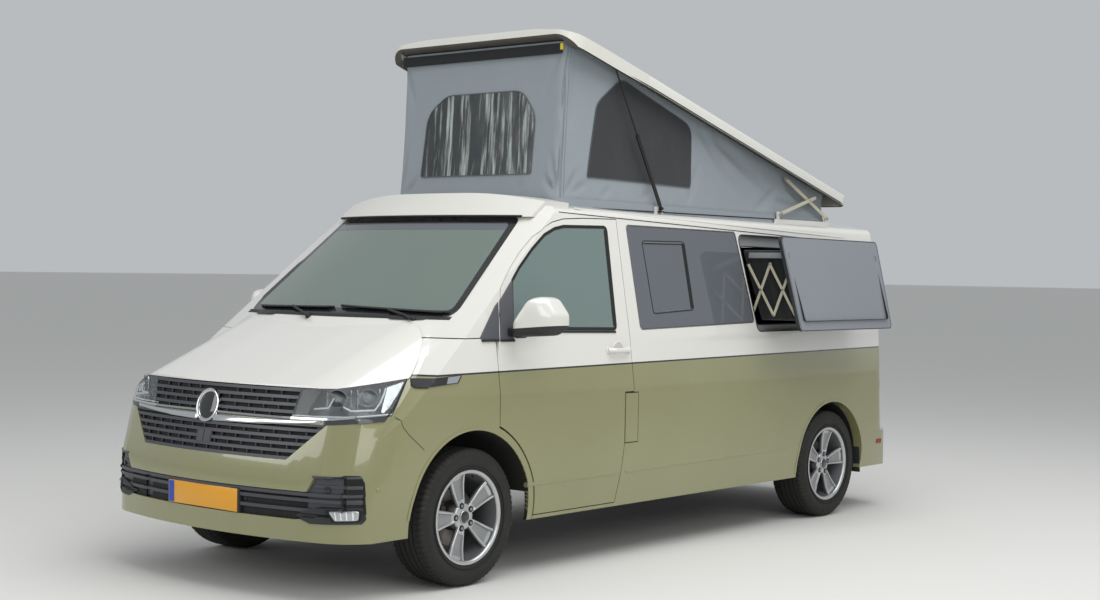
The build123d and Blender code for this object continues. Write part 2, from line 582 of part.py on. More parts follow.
def tyre(x):
    y0, y1 = HALF_TRACK - TYRE_WIDTH / 2, HALF_TRACK + TYRE_WIDTH / 2
    tread = TYRE_RADIUS
    profile = [(BEAD_RADIUS, y0 + 22), (BEAD_RADIUS + 12, y0 + 14), (270, y0), (300, y0 + 2), (326, y0 + 12),
               (tread - 3, y0 + 26), (tread, y0 + 50), (tread, y1 - 50), (tread - 3, y1 - 26), (326, y1 - 12),
               (300, y1 - 2), (270, y1), (BEAD_RADIUS + 12, y1 - 14), (BEAD_RADIUS, y1 - 22)]
    return round_y(profile, x, HUB_Z)


def rim(x, first):
    """Cast rim with five wide spokes, each hollowed between its two ridges; the first points at an angle up from ahead."""
    y0, y1 = HALF_TRACK - TYRE_WIDTH / 2 + 22, HALF_TRACK + TYRE_WIDTH / 2 - 22
    barrel = round_y([(BEAD_RADIUS - 12, y0), (BEAD_RADIUS, y0), (BEAD_RADIUS, y1), (RIM_RADIUS, y1 + 8),
                      (RIM_RADIUS, y1 + 14), (BEAD_RADIUS - 8, y1 + 14), (BEAD_RADIUS - 18, y1 - 20)], x, HUB_Z)
    hub = rod_y(x, HUB_Z, 72, 838, HUB_FACE_Y) - rod_y(x, HUB_Z, BORE_RADIUS, 800, HUB_FACE_Y - 12)
    spokes = hub
    wide, hollow = BEAD_RADIUS - 11, BEAD_RADIUS - 19
    spoke = Polyline((40, -22, 0), (wide, -58, 0), (wide, 58, 0), (40, 22, 0), close=True)
    pocket = Polyline((86, -13, 0), (hollow, -34, 0), (hollow, 34, 0), (86, 13, 0), close=True)
    bar = Pos(0, 0, -15) * extrude(make_face(spoke), 30) - Pos(0, 0, -17) * extrude(make_face(pocket), 10)
    for k in range(5):
        spokes += Pos(x, 878, HUB_Z) * Rot(90, 0, 0) * Rot(0, 0, first + 72 * k) * bar
    return barrel + spokes


def knuckle():
    """Hub carrier with its disc, stub shaft and spring strut; it turns on the arm's ball pin."""
    x = FRONT_AXLE_X
    part = rod_y(x, HUB_Z, 62, KINGPIN_Y - 32, KINGPIN_Y + 32)
    part += rod_y(x, HUB_Z, STUB_RADIUS, KINGPIN_Y, HUB_FACE_Y - 17)
    part += rod_y(x, HUB_Z, DISC_RADIUS, DISC_Y, DISC_Y + 22)
    part += block(x - 38, x + 38, 640, KINGPIN_Y - 20, HUB_Z - 70, HUB_Z + 110)
    part += block(x + 100, x + 160, KINGPIN_Y - 20, DISC_Y + 35, HUB_Z - 45, HUB_Z + 45)
    part += block(x + 40, x + 120, KINGPIN_Y - 20, KINGPIN_Y + 20, HUB_Z - 30, HUB_Z + 30)
    part += Pos(x, 655, HUB_Z + 230) * Cylinder(27, 300)
    part -= Pos(x, KINGPIN_Y, HUB_Z - 60) * Cylinder(12.3, 60)
    return part


def wheels():
    for place, x in (("front", FRONT_AXLE_X), ("rear", REAR_AXLE_X)):
        shapes = (("tyre", tyre(x)), ("rim", rim(x, 0 if place == "front" else 26)))
        for name, shape in shapes:
            NODES[f"{name}_{place}_left"] = shape
            NODES[f"{name}_{place}_right"] = mirror(shape, about=Plane.XZ)
    NODES["knuckle_left"] = knuckle()
    NODES["knuckle_right"] = mirror(knuckle(), about=Plane.XZ)


def running_gear():
    x = FRONT_AXLE_X
    frame = block(x - 260, x - 180, -420, 420, 250, 330) + block(x + 120, x + 180, -420, 420, 250, 330)
    frame += both(block(x - 260, x + 700, 395, 445, 250, 330))
    frame += both(block(x + 640, x + 700, 395, 445, 250, TOW_EYE[1] + 30))
    arm = block(x - 40, x + 40, 420, KINGPIN_Y - 35, HUB_Z - 92, HUB_Z - 76)
    arm += block(x - 22, x + 22, 600, KINGPIN_Y, HUB_Z - 92, HUB_Z - 76)
    arm += Pos(x, KINGPIN_Y, HUB_Z - 84) * Cylinder(22, 16)
    frame += both(arm + Pos(x, KINGPIN_Y, HUB_Z - 60) * Cylinder(12, 44))
    frame += both(block(x - 330, x - 200, 395, 445, 250, FLOOR_TOP - FLOOR_THICK))
    frame += block(x + 640, x + 700, -650, 650, TOW_EYE[1] - 30, TOW_EYE[1] + 30)
    frame -= Pos(x + 670, *TOW_EYE) * Rot(0, 90, 0) * Cylinder(TOW_RADIUS, 200)
    NODES["front_subframe"] = frame
    x = REAR_AXLE_X
    beam = rod_y(x + 70, HUB_Z - 20, 38, -620, 620)
    arm = block(x - 40, x + 560, 560, 610, HUB_Z - 60, HUB_Z + 20) + rod_y(x, HUB_Z, 62, 560, 732)
    arm += rod_y(x, HUB_Z, STUB_RADIUS, 700, HUB_FACE_Y - 17) + rod_y(x, HUB_Z, DISC_RADIUS, DISC_Y, DISC_Y + 22)
    arm += block(x + 500, x + 560, 560, 610, HUB_Z - 60, FLOOR_TOP - FLOOR_THICK)
    arm += Pos(x + 20, 560, (HUB_Z + FLOOR_TOP - FLOOR_THICK) / 2) * Cylinder(42, FLOOR_TOP - FLOOR_THICK - HUB_Z)
    NODES["rear_axle"] = beam + both(arm)


def floor():
    slab = INSIDE & block(-LENGTH, at(-80), -950, 950, FLOOR_TOP - FLOOR_THICK, FLOOR_TOP)
    slab -= both(arch(FRONT_AXLE_X, FRONT_ARCH + 15, LINER_Y - 7, 1200))
    outer = arch(REAR_AXLE_X, REAR_ARCH + 12, 613, 1000) - arch(REAR_AXLE_X, REAR_ARCH, 625, 1200)
    outer &= block(-LENGTH, 0, 600, 1200, HUB_Z + 75, 1200) & INSIDE
    slab = slab - both(arch(REAR_AXLE_X, REAR_ARCH, 625, 1200)) + both(outer)
    slab += both(block(at(-3000), at(-480), 470, 530, 400, FLOOR_TOP - FLOOR_THICK))
    slab += block(at(-2350), at(-1250), -440, 440, 330, FLOOR_TOP - FLOOR_THICK)
    NODES["floor"] = slab


def cabin():
    dash = prism_y([(at(-80), 1010), (at(-80), 1190), (at(-330), 1215), (at(-560), 1150), (at(-600), 1000),
                    (at(-540), 860), (at(-300), 800)], -800, 800, 25)
    dash -= both(arch(FRONT_AXLE_X, FRONT_ARCH + 20, LINER_Y - 10, 1200))
    dash += block(at(-330), at(-82), -110, 110, FLOOR_TOP, 860)
    NODES["dashboard"] = dash & body_form(WALL + 8)
    wheel = Torus(185, 16) + Box(340, 34, 14) + Cylinder(60, 30) + Pos(0, 0, -90) * Cylinder(26, 180)
    NODES["steering_wheel"] = (Pos(at(-690), 420, 1150) * Rot(0, -62, 0) * wheel) - dash
    seat = block(at(-1500), at(-980), 180, 660, 820, 950)
    seat = fillet(seat.edges().filter_by(Axis.Y), 40)
    back = prism_y([(at(-1490), 930), (at(-1380), 930), (at(-1500), 1500), (at(-1610), 1490)], 190, 650, 35)
    head = prism_y([(at(-1545), 1520), (at(-1625), 1510), (at(-1665), 1660), (at(-1585), 1672)], 300, 540, 25)
    stalk = prism_y([(at(-1540), 1470), (at(-1575), 1465), (at(-1590), 1540), (at(-1560), 1545)], 400, 440)
    base = block(at(-1440), at(-1040), 220, 620, FLOOR_TOP, 821)
    NODES["front_seats"] = both(seat + back + head + stalk + base)
    unit = INSIDE & block(at(-2900), at(-1900), 480, 810, FLOOR_TOP, 1080)
    bench = block(at(-3050), at(-2480), -700, 440, FLOOR_TOP, 960)
    bench = bench + prism_y([(at(-3120), 900), (at(-2990), 900), (at(-3080), 1420), (at(-3190), 1410)], -690, 430, 30)
    NODES["cabinet"] = unit
    NODES["rear_bench"] = bench


def write_nodes():
    for build in (sides, doors, tail, nose, roof, pop_top, canvas, struts, pod, mirrors,
                  wheels, running_gear, floor, cabin):
        build()
    os.makedirs("parts", exist_ok=True)
    for name, shape in NODES.items():
        export_step(shape if isinstance(shape, Part) else Part() + shape, f"parts/{name}.step")


if __name__ == "__main__":
    write_nodes()
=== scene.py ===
"""Looks of the camper van: paint, glass, grille, lamps, wheels, pop-top cloth, window pod and cabin."""
import json
import math

import bmesh
import bpy
from mathutils import Matrix, Vector, noise
from mathutils.bvhtree import BVHTree


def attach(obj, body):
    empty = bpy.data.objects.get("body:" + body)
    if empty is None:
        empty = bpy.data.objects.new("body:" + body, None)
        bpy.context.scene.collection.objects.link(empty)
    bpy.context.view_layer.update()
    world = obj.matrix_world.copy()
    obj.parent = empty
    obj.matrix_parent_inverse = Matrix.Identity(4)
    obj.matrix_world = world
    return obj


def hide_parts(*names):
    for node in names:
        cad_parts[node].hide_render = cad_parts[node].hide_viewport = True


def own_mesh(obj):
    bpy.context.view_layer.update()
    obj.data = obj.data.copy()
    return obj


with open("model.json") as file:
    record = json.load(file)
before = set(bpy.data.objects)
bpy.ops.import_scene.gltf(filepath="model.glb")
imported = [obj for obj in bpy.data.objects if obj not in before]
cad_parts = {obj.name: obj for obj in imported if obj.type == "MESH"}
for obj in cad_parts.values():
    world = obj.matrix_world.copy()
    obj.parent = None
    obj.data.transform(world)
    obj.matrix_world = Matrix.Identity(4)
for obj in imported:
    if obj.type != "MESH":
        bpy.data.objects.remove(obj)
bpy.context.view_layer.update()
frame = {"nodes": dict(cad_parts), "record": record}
scene = bpy.context.scene

# Places are written in metres ahead of the front axle, as in the CAD source
AXLE_X = 1.744
WHEELBASE = 3.400
HUB_Z = 0.340
HALF_TRACK = 0.814
HALF_TYRE = 0.1175
WAIST_Z, WAIST_FALL = 1.0598, 0.0075


def at(ahead):
    return AXLE_X + ahead


# ---------------------------------------------------------------- materials

def colour(code):
    """sRGB hex to linear."""
    parts = [int(code[i:i + 2], 16) / 255 for i in (1, 3, 5)]
    return tuple(c / 12.92 if c <= 0.04045 else ((c + 0.055) / 1.055) ** 2.4 for c in parts) + (1.0,)


def add(mat, kind, links=(), settings=(), **inputs):
    """Adds a node: settings are its own properties, inputs its sockets' values, links sockets to feed."""
    node = mat.node_tree.nodes.new(kind)
    for name, value in dict(settings).items():
        setattr(node, name, value)
    for name, value in inputs.items():
        key = int(name[1:]) if name[0] == "_" else name.replace("_", " ")
        node.inputs[key].default_value = value
    for name, source in dict(links).items():
        mat.node_tree.links.new(source, node.inputs[name])
    return node


def material(name, code, roughness, metallic=0.0, ior=1.5, coat=0.0, clear=0.0, sheen=0.0):
    """New material with its shader's plain values set, and the object's own place to work patterns from."""
    mat = bpy.data.materials.new(name)
    mat.use_nodes = True
    shader = mat.node_tree.nodes["Principled BSDF"]
    shader.inputs["Base Color"].default_value = colour(code)
    shader.inputs["Roughness"].default_value = roughness
    shader.inputs["Metallic"].default_value = metallic
    shader.inputs["IOR"].default_value = ior
    shader.inputs["Coat Weight"].default_value = coat
    shader.inputs["Coat Roughness"].default_value = 0.03
    shader.inputs["Transmission Weight"].default_value = clear
    shader.inputs["Sheen Weight"].default_value = sheen
    place = add(mat, "ShaderNodeTexCoord").outputs["Object"]
    return mat, shader, place


def grained(mat, shader, place, code_a, code_b, size, rough_low, rough_high, bump_size=None, depth=0.0, detail=3.0):
    """Colour wanders between two codes over size metres, roughness with it, and a bump of depth metres over bump_size."""
    cloud = add(mat, "ShaderNodeTexNoise", {"Vector": place}, Scale=1 / size, Detail=detail)
    mix = add(mat, "ShaderNodeMix", {"Factor": cloud.outputs["Fac"]}, {"data_type": "RGBA"}, _6=colour(code_a), _7=colour(code_b))
    mat.node_tree.links.new(mix.outputs[2], shader.inputs["Base Color"])
    rough = add(mat, "ShaderNodeMapRange", {"Value": cloud.outputs["Fac"]}, From_Min=0.3, From_Max=0.7, To_Min=rough_low,
        To_Max=rough_high)
    mat.node_tree.links.new(rough.outputs[0], shader.inputs["Roughness"])
    if bump_size:
        grain = add(mat, "ShaderNodeTexNoise", {"Vector": place}, Scale=1 / bump_size, Detail=2.0)
        bump = add(mat, "ShaderNodeBump", {"Height": grain.outputs["Fac"]}, Strength=1.0, Distance=depth)
        mat.node_tree.links.new(bump.outputs[0], shader.inputs["Normal"])
    return mix


def plain_finish(name, code, other, roughness, metallic=0.0, size=0.25, grain=None, depth=0.0, **more):
    mat, shader, place = material(name, code, roughness, metallic, **more)
    grained(mat, shader, place, code, other, size, max(0.02, roughness - 0.05), roughness + 0.07, grain, depth)
    return mat


def two_tone_paint():
    """Solid car paint, sprayed and lacquered: deep gloss, warm white above the waist, a thin black line that is partly
    a pinstripe and partly painted shade of the waist crease, sage green below.
    """
    mat, shader, place = material("two_tone_lacquer", "#888861", 0.32, coat=0.9)
    xyz = add(mat, "ShaderNodeSeparateXYZ", {"Vector": place})
    rise = add(mat, "ShaderNodeMath", {0: xyz.outputs[0], 2: xyz.outputs[2]}, {"operation": "MULTIPLY_ADD"}, _1=WAIST_FALL)
    above = add(mat, "ShaderNodeMath", {0: rise.outputs[0]}, {"operation": "GREATER_THAN"}, _1=WAIST_Z + 0.005)
    # thin black band at the waist: partly a pinstripe, partly painted shade of the body's crease
    line = add(mat, "ShaderNodeMath", {0: rise.outputs[0]}, {"operation": "GREATER_THAN"}, _1=WAIST_Z - 0.004)
    dust = add(mat, "ShaderNodeTexNoise", {"Vector": place}, Scale=1.6, Detail=4.0)
    green = add(mat, "ShaderNodeMix", {"Factor": dust.outputs["Fac"]}, {"data_type": "RGBA"}, _6=colour("#83825A"),
        _7=colour("#8E8D66"))
    pinstripe_and_crease_shade = add(mat, "ShaderNodeMix", {"Factor": line.outputs[0], 6: green.outputs[2]}, {"data_type": "RGBA"},
        _7=colour("#1A1A18"))
    both = add(mat, "ShaderNodeMix", {"Factor": above.outputs[0], 6: pinstripe_and_crease_shade.outputs[2]}, {"data_type": "RGBA"},
        _7=colour("#DCDAD4"))
    mat.node_tree.links.new(both.outputs[2], shader.inputs["Base Color"])
    low = add(mat, "ShaderNodeMapRange", {"Value": xyz.outputs[2]}, From_Min=0.28, From_Max=0.60, To_Min=0.42, To_Max=0.26)
    mat.node_tree.links.new(low.outputs[0], shader.inputs["Roughness"])
    return mat


def weave(name, code, other, thread, depth, roughness, sheen=0.2, stain=0.5):
    """Woven cloth: two crossed waves a thread apart in a bump, with slow colour change over stain metres."""
    mat, shader, place = material(name, code, roughness, sheen=sheen)
    mix = grained(mat, shader, place, code, other, stain, roughness - 0.05, min(1.0, roughness + 0.1))
    across = add(mat, "ShaderNodeTexWave", {"Vector": place}, {"bands_direction": "Z"}, Scale=0.314 / thread)
    along = add(mat, "ShaderNodeTexWave", {"Vector": place}, {"bands_direction": "DIAGONAL"}, Scale=0.18 / thread)
    height = add(mat, "ShaderNodeMath", {0: across.outputs["Fac"], 1: along.outputs["Fac"]}, {"operation": "MULTIPLY"})
    bump = add(mat, "ShaderNodeBump", {"Height": height.outputs[0]}, Strength=1.0, Distance=depth)
    mat.node_tree.links.new(bump.outputs[0], shader.inputs["Normal"])
    return mat


def window_film():
    """Clear film window in the cloth with fly mesh behind: dark and glossy, with pale upright streaks painted in as
    reflections on its folds.
    """
    mat, shader, place = material("film_window", "#23282A", 0.22, coat=0.5)
    stretch = add(mat, "ShaderNodeMapping", {"Vector": place}, Scale=(9.0, 34.0, 2.2))
    # pale streaks: painted reflections on the film's folds
    fold_highlight = add(mat, "ShaderNodeTexNoise", {"Vector": stretch.outputs[0]}, Scale=1.0, Detail=5.0, Roughness=0.62)
    highlight_mask = add(mat, "ShaderNodeMapRange", {"Value": fold_highlight.outputs["Fac"]}, From_Min=0.50, From_Max=0.66)
    mix = add(mat, "ShaderNodeMix", {"Factor": highlight_mask.outputs[0]}, {"data_type": "RGBA"}, _6=colour("#24292B"),
        _7=colour("#A9B2AE"))
    mat.node_tree.links.new(mix.outputs[2], shader.inputs["Base Color"])
    return mat


def glazing(name, code, clear, roughness=0.02, ior=1.52):
    """Float glass with a faint wave, tinted in the mass."""
    mat, shader, place = material(name, code, roughness, ior=ior, clear=clear)
    ripple = add(mat, "ShaderNodeTexNoise", {"Vector": place}, Scale=2.0, Detail=1.0)
    bump = add(mat, "ShaderNodeBump", {"Height": ripple.outputs["Fac"]}, Strength=0.25, Distance=0.002)
    mat.node_tree.links.new(bump.outputs[0], shader.inputs["Normal"])
    return mat


def tread_rubber():
    """Cured rubber: near black, dull, slightly browned and dusty in random patches, with fine moulded grain."""
    mat, shader, place = material("tyre_rubber", "#1B1B1B", 0.72)
    grained(mat, shader, place, "#181818", "#26241F", 0.06, 0.66, 0.86, 0.004, 0.0006)
    return mat


PAINT = two_tone_paint()
WHITE = plain_finish("white_lacquer", "#DCDAD4", "#D7D5CE", 0.26, size=0.8, coat=0.9)           # lacquered sheet steel
GELCOAT = plain_finish("white_gelcoat", "#D5D4CD", "#CCCBC3", 0.38, size=0.4, grain=0.012, depth=0.0003, coat=0.3)
LINING = plain_finish("felt_lining", "#6E6F6E", "#777875", 0.92, size=0.15, grain=0.003, depth=0.0006)
SCREEN = glazing("laminated_glass", "#9FAFA6", 0.62)
SIDE_GLASS = glazing("tempered_glass", "#8CA09C", 0.45)
DARK_GLASS = glazing("privacy_glass", "#63676D", 0.10)
LENS = glazing("polycarbonate_lens", "#F2F5F5", 0.97, ior=1.22)
RED_LENS = glazing("red_acrylic", "#A51212", 0.35, 0.06)
AMBER = glazing("amber_acrylic", "#C9781E", 0.4, 0.06)
CLOTH_BINDING = plain_finish("black_webbing", "#1A1B1C", "#222325", 0.88, size=0.05, grain=0.002,
    depth=0.0004)   # woven tape sewn to the canvas
SEAL = plain_finish("epdm_seal", "#0D0D0D", "#151515", 0.62, size=0.1, grain=0.003, depth=0.0002)
PIANO = plain_finish("gloss_black_acrylic", "#101112", "#15171A", 0.09, size=0.5, coat=0.6)
PLASTIC = plain_finish("grained_black_plastic", "#202123", "#28292B", 0.52, size=0.2, grain=0.002, depth=0.00025)
SLATS = plain_finish("satin_grey_plastic", "#3A3C41", "#424449", 0.38, size=0.3, grain=0.003, depth=0.0001)
CHROME = plain_finish("plated_chrome", "#DADCDD", "#C9CCCE", 0.07, 1.0, size=0.3)
REFLECTOR = plain_finish("aluminised_reflector", "#C8CBCD", "#AEB3B6", 0.16, 1.0, size=0.05)
GUIDE = plain_finish("frosted_light_guide", "#F4F6F6", "#E8ECEE", 0.30, size=0.05)
ALLOY = plain_finish("silver_wheel_lacquer", "#C9CACB", "#B5B6B6", 0.30, 0.75, size=0.12, coat=0.5)
# darker copies of the wheel lacquer: painted shade on the web, the spoke sides and inside the barrel
WEB_PAINTED_SHADE = plain_finish("wheel_lacquer_painted_shade", "#9A9B9D", "#8C8D8F", 0.40, 0.55, size=0.1, coat=0.3)
WHEEL_DEEP_PAINTED_SHADE = plain_finish("wheel_lacquer_deep_painted_shade", "#77787A", "#646566", 0.42, 0.5, size=0.1)
RUBBER = tread_rubber()
IRON = plain_finish("cast_iron", "#3A3835", "#4A4039", 0.75, 0.3, size=0.05, grain=0.004, depth=0.0008)
DISC = plain_finish("turned_iron", "#8A8885", "#77706A", 0.35, 0.9, size=0.04)
UNDER = plain_finish("wax_coated_steel", "#1C1D1E", "#2A2826", 0.66, size=0.2, grain=0.01, depth=0.0006)
STEEL = plain_finish("zinc_steel", "#A6A8A8", "#8D9090", 0.34, 0.9, size=0.05)
CREAM = plain_finish("cream_powder_coat", "#C9C4AE", "#BDB8A2", 0.46, size=0.2, grain=0.002, depth=0.0002)
BLACK_ROD = plain_finish("black_powder_coat", "#121212", "#1B1B1B", 0.35, size=0.1, grain=0.002, depth=0.0001)
PANEL = plain_finish("grey_composite", "#7C8087", "#85898F", 0.16, size=0.7, coat=0.5)
PANEL_EDGE = plain_finish("panel_edge_trim", "#2B2E31", "#34373A", 0.45, size=0.2)
FRAME_GREY = plain_finish("grey_frame_profile", "#8D9192", "#7F8384", 0.45, size=0.2)
BELLOWS = weave("black_bellows_cloth", "#0F1011", "#181A1B", 0.004, 0.0006, 0.85, stain=0.2)
CLOTH = weave("grey_blue_canvas", "#8F979C", "#858D93", 0.005, 0.0003, 0.80, sheen=0.15, stain=0.9)
CLOTH_EDGE = weave("dark_canvas_tape", "#50585D", "#474E53", 0.004, 0.0004, 0.80)
MESH_WINDOW = weave("fly_mesh", "#25272A", "#1D1F21", 0.004, 0.0006, 0.60, stain=0.3)
FILM = window_film()
SEAT = weave("seat_cloth", "#26282A", "#303234", 0.006, 0.0008, 0.90, stain=0.1)
DASH = plain_finish("dash_skin", "#232425", "#2B2C2D", 0.60, size=0.2, grain=0.004, depth=0.0005)
LEATHER = plain_finish("grained_leather", "#1A1A1A", "#242322", 0.48, size=0.05, grain=0.003, depth=0.0004)
BOARD = plain_finish("laminate_board", "#B8B3A8", "#A9A498", 0.42, size=0.3, grain=0.02, depth=0.0002)
EDGE_PRINT = plain_finish("baked_edge_print", "#17181A", "#1E2022", 0.25, size=0.2, coat=0.3)
SAIL_GREY = plain_finish("grey_grained_plastic", "#4B4C50", "#535458", 0.55, size=0.1, grain=0.002, depth=0.0002)
# slightly darker paint for the finger scoops: painted shade of their recess
SCOOP_PAINTED_SHADE = plain_finish("scoop_painted_shade", "#C9C7C0", "#BFBDB6", 0.30, size=0.05, coat=0.6)
MIRROR_FACE = plain_finish("silvered_glass", "#B8C0C4", "#AAB2B6", 0.04, 1.0, size=0.2)
BELT = weave("seat_belt_webbing", "#8FA69C", "#7E958C", 0.003, 0.0003, 0.75, stain=0.2)
# near black for holes and recesses: painted shade
PAINTED_SHADE_BLACK = plain_finish("painted_shade_black", "#060606", "#0A0A0A", 0.70, size=0.1)
SMOKE = glazing("smoked_polycarbonate", "#4A4E52", 0.35, 0.05)
WEDGE_GREY = plain_finish("smoked_grey_acrylic", "#2E3135", "#26292D", 0.45, size=0.3)
LAMP_GREY = plain_finish("grey_lamp_housing", "#5C6064", "#4E5256", 0.30, 0.3, size=0.05)
PROJECTOR = glazing("projector_glass", "#DDE6EA", 0.75)
SHELL_LINING = plain_finish("brown_grey_lining", "#5B574F", "#4C4943", 0.90, size=0.10, grain=0.006,
    depth=0.0008)   # bonded fibre mat
YELLOW_TAB = plain_finish("yellow_webbing", "#D9C21E", "#CDB51A", 0.75, size=0.02)
PLATE_YELLOW = plain_finish("reflective_plate_sheet", "#E6A21C", "#DE9A18", 0.35, size=0.1, coat=0.3)
PLATE_BLUE = plain_finish("blue_plate_band", "#1F4FB0", "#1B479F", 0.35, size=0.1)


# ---------------------------------------------------------------- mesh helpers

def settle(bm, name, mat, body, smooth=32.0, mats=()):
    """Turns a bmesh into a finished piece that rides on a body."""
    for face in bm.faces:
        face.smooth = True
    for edge in bm.edges:
        edge.smooth = len(edge.link_faces) == 2 and edge.calc_face_angle(0.0) < math.radians(smooth)
    mesh = bpy.data.meshes.new(name)
    bm.to_mesh(mesh)
    bm.free()
    for m in (mat, *mats):
        mesh.materials.append(m)
    piece = bpy.data.objects.new(name, mesh)
    scene.collection.objects.link(piece)
    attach(piece, body)
    return piece


def cad_copy(*nodes):
    """Merged bmesh of CAD nodes."""
    bm = bmesh.new()
    for node in nodes:
        bm.from_mesh(frame["nodes"][node].data)
    bmesh.ops.remove_doubles(bm, verts=bm.verts, dist=2e-5)
    return bm


BODY_OF = {n: b for b, ns in frame["record"]["behaviour"]["bodies"].items() for n in ns}


def dress(node, mat, smooth=32.0, inner=None):
    """Shows a CAD node smooth-shaded in its finish; faces that look to the middle of the van may take another."""
    bm = cad_copy(node)
    if inner:
        for face in bm.faces:
            c, n = face.calc_center_median(), face.normal
            if n.y * c.y < 0 and abs(n.y) > 0.4 or (abs(c.y) < 0.7 and n.x * c.x < 0 and abs(n.x) > 0.5) or n.z < -0.75 and c.z > 1.6:
                face.material_index = 1
    piece = settle(bm, node + "_dressed", mat, BODY_OF[node], smooth, (inner,) if inner else ())
    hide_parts(node)
    return piece


def block(bm, size, centre, turn=None):
    matrix = Matrix.Translation(centre) @ (turn.to_4x4() if turn else Matrix.Identity(4)) @ Matrix.Diagonal((*size, 1))
    return bmesh.ops.create_cube(bm, size=1.0, matrix=matrix)["verts"]


def round_edges(bm, width, segments=2, angle=40.0):
    edges = [e for e in bm.edges if len(e.link_faces) == 2 and e.calc_face_angle(0.0) > math.radians(angle)]
    bmesh.ops.bevel(bm, geom=edges, offset=width, offset_type="OFFSET", affect="EDGES", segments=segments,
                    profile=0.5, material=-1, clamp_overlap=True)


def spun(bm, profile, centre, axis, steps=64, start=(1, 0, 0)):
    """Turns (radius, along) points about an axis through centre."""
    axis, centre = Vector(axis), Vector(centre)
    out = (Vector(start) - axis * Vector(start).dot(axis)).normalized()
    verts = [bm.verts.new(centre + out * r + axis * h) for r, h in profile]
    edges = [bm.edges.new(pair) for pair in zip(verts, verts[1:])]
    bmesh.ops.spin(bm, geom=verts + edges, cent=centre, axis=axis, dvec=(0, 0, 0), angle=math.tau, steps=steps, use_merge=True)
    bmesh.ops.remove_doubles(bm, verts=bm.verts, dist=1e-6)
    bmesh.ops.recalc_face_normals(bm, faces=bm.faces)


def skin(*nodes):
    bm = cad_copy(*nodes)
    tree = BVHTree.FromBMesh(bm)
    bm.free()
    return tree


def onto(tree, point, way, lift=0.0):
    """Point moved along way until it meets the tree's surface, then lifted back towards where it came from."""
    way = Vector(way).normalized()
    hit = tree.ray_cast(Vector(point) - way * 3.0, way)[0]
    return (hit if hit else Vector(point)) - way * lift


def depth_to(tree, point, way):
    """Distance to the surface along way from 3 m before a point; a narrow shut line is passed over."""
    start = point - way * 3.0
    across = way.cross(Vector((0, 0, 1))) if abs(way.z) < 0.9 else Vector((1, 0, 0))
    beside = way.cross(across)
    here = tree.ray_cast(start, way)[3]
    near = [tree.ray_cast(start + s, way)[3] for s in (across * 0.008, across * -0.008, beside * 0.008, beside * -0.008)]
    near = [d for d in near if d is not None]
    if near and (here is None or here > min(near) + 0.012):
        return min(near)
    return here


def laid(bm, tree, way, lift, thick=0.0):
    """Moves a flat sheet along way onto a surface, lifted off it, and gives it a thickness towards the surface."""
    way = Vector(way).normalized()
    depths = [depth_to(tree, v.co, way) for v in bm.verts]
    known = [d for d in depths if d is not None]
    for v, d in zip(bm.verts, depths):
        v.co += way * ((sum(known) / len(known) if d is None else d) - 3.0 - lift)
    if thick:
        back = bmesh.ops.extrude_face_region(bm, geom=bm.faces[:])["geom"]
        bmesh.ops.translate(bm, verts=[g for g in back if isinstance(g, bmesh.types.BMVert)], vec=way * thick)
    bmesh.ops.recalc_face_normals(bm, faces=bm.faces)
    return bm


def draped(outline, lay, tree, way, lift, thick, step=0.03):
    """Sheet cut to a flat outline, laid on a surface along way. lay turns an outline point into a place."""
    bm = bmesh.new()
    bm.faces.new([bm.verts.new(lay(*p)) for p in outline])
    for axis in ((1, 0, 0), (0, 1, 0), (0, 0, 1)):
        spans = [v.co.dot(Vector(axis)) for v in bm.verts]
        low, high = min(spans), max(spans)
        for k in range(1, int((high - low) / step) + 1):
            bmesh.ops.bisect_plane(bm, geom=bm.verts[:] + bm.edges[:] + bm.faces[:], dist=1e-6,
                                   plane_co=Vector(axis) * (low + k * step), plane_no=axis)
    return laid(bm, tree, way, lift, thick)


def band(path, width, lay, tree, way, lift, thick, closed=False, step=0.03):
    """Ribbon of a width along a flat path, laid on a surface along way; width may change from start to end."""
    spots = filled_in([(*p, 0.0) for p in path], step, closed)
    wide, narrow = width if isinstance(width, tuple) else (width, width)
    bm, chains = bmesh.new(), ([], [])
    for i, p in enumerate(spots):
        before = spots[i - 1] if closed or i else p
        after = spots[(i + 1) % len(spots)] if closed or i < len(spots) - 1 else p
        run = (after - before).normalized()
        half = (wide + (narrow - wide) * i / max(1, len(spots) - 1)) / 2
        for chain, sign in zip(chains, (1, -1)):
            spot = p + Vector((-run.y, run.x, 0)) * half * sign
            chain.append(bm.verts.new(lay(spot.x, spot.y)))
    edges = [bm.edges.new(pair) for chain in chains for pair in zip(chain, chain[1:] + (chain[:1] if closed else []))]
    bmesh.ops.bridge_loops(bm, edges=edges)
    return laid(bm, tree, way, lift, thick)


def bead(path, radius, lay, tree, way, lift=0.0, closed=False, step=0.03):
    """Round bead along a flat path, laid on a surface along way."""
    way = Vector(way).normalized()
    spots = [Vector(lay(p.x, p.y)) for p in filled_in([(*q, 0.0) for q in path], step, closed)]
    depths = [depth_to(tree, p, way) for p in spots]
    known = [d for d in depths if d is not None]
    return cord_mesh([p + way * ((sum(known) / len(known) if d is None else d) - 3.0 - lift) for p, d in zip(spots, depths)],
                     radius, closed, resolution=2)


def rounder(bm, levels=2, crease=None):
    """The bmesh as a subdivision surface makes it."""
    mesh = bpy.data.meshes.new("cage")
    bm.to_mesh(mesh)
    bm.free()
    holder = bpy.data.objects.new("cage", mesh)
    scene.collection.objects.link(holder)
    change = holder.modifiers.new("round", "SUBSURF")
    change.levels = change.render_levels = levels
    result = bmesh.new()
    result.from_object(holder, bpy.context.evaluated_depsgraph_get())
    bpy.data.objects.remove(holder)
    bpy.data.meshes.remove(mesh)
    return result


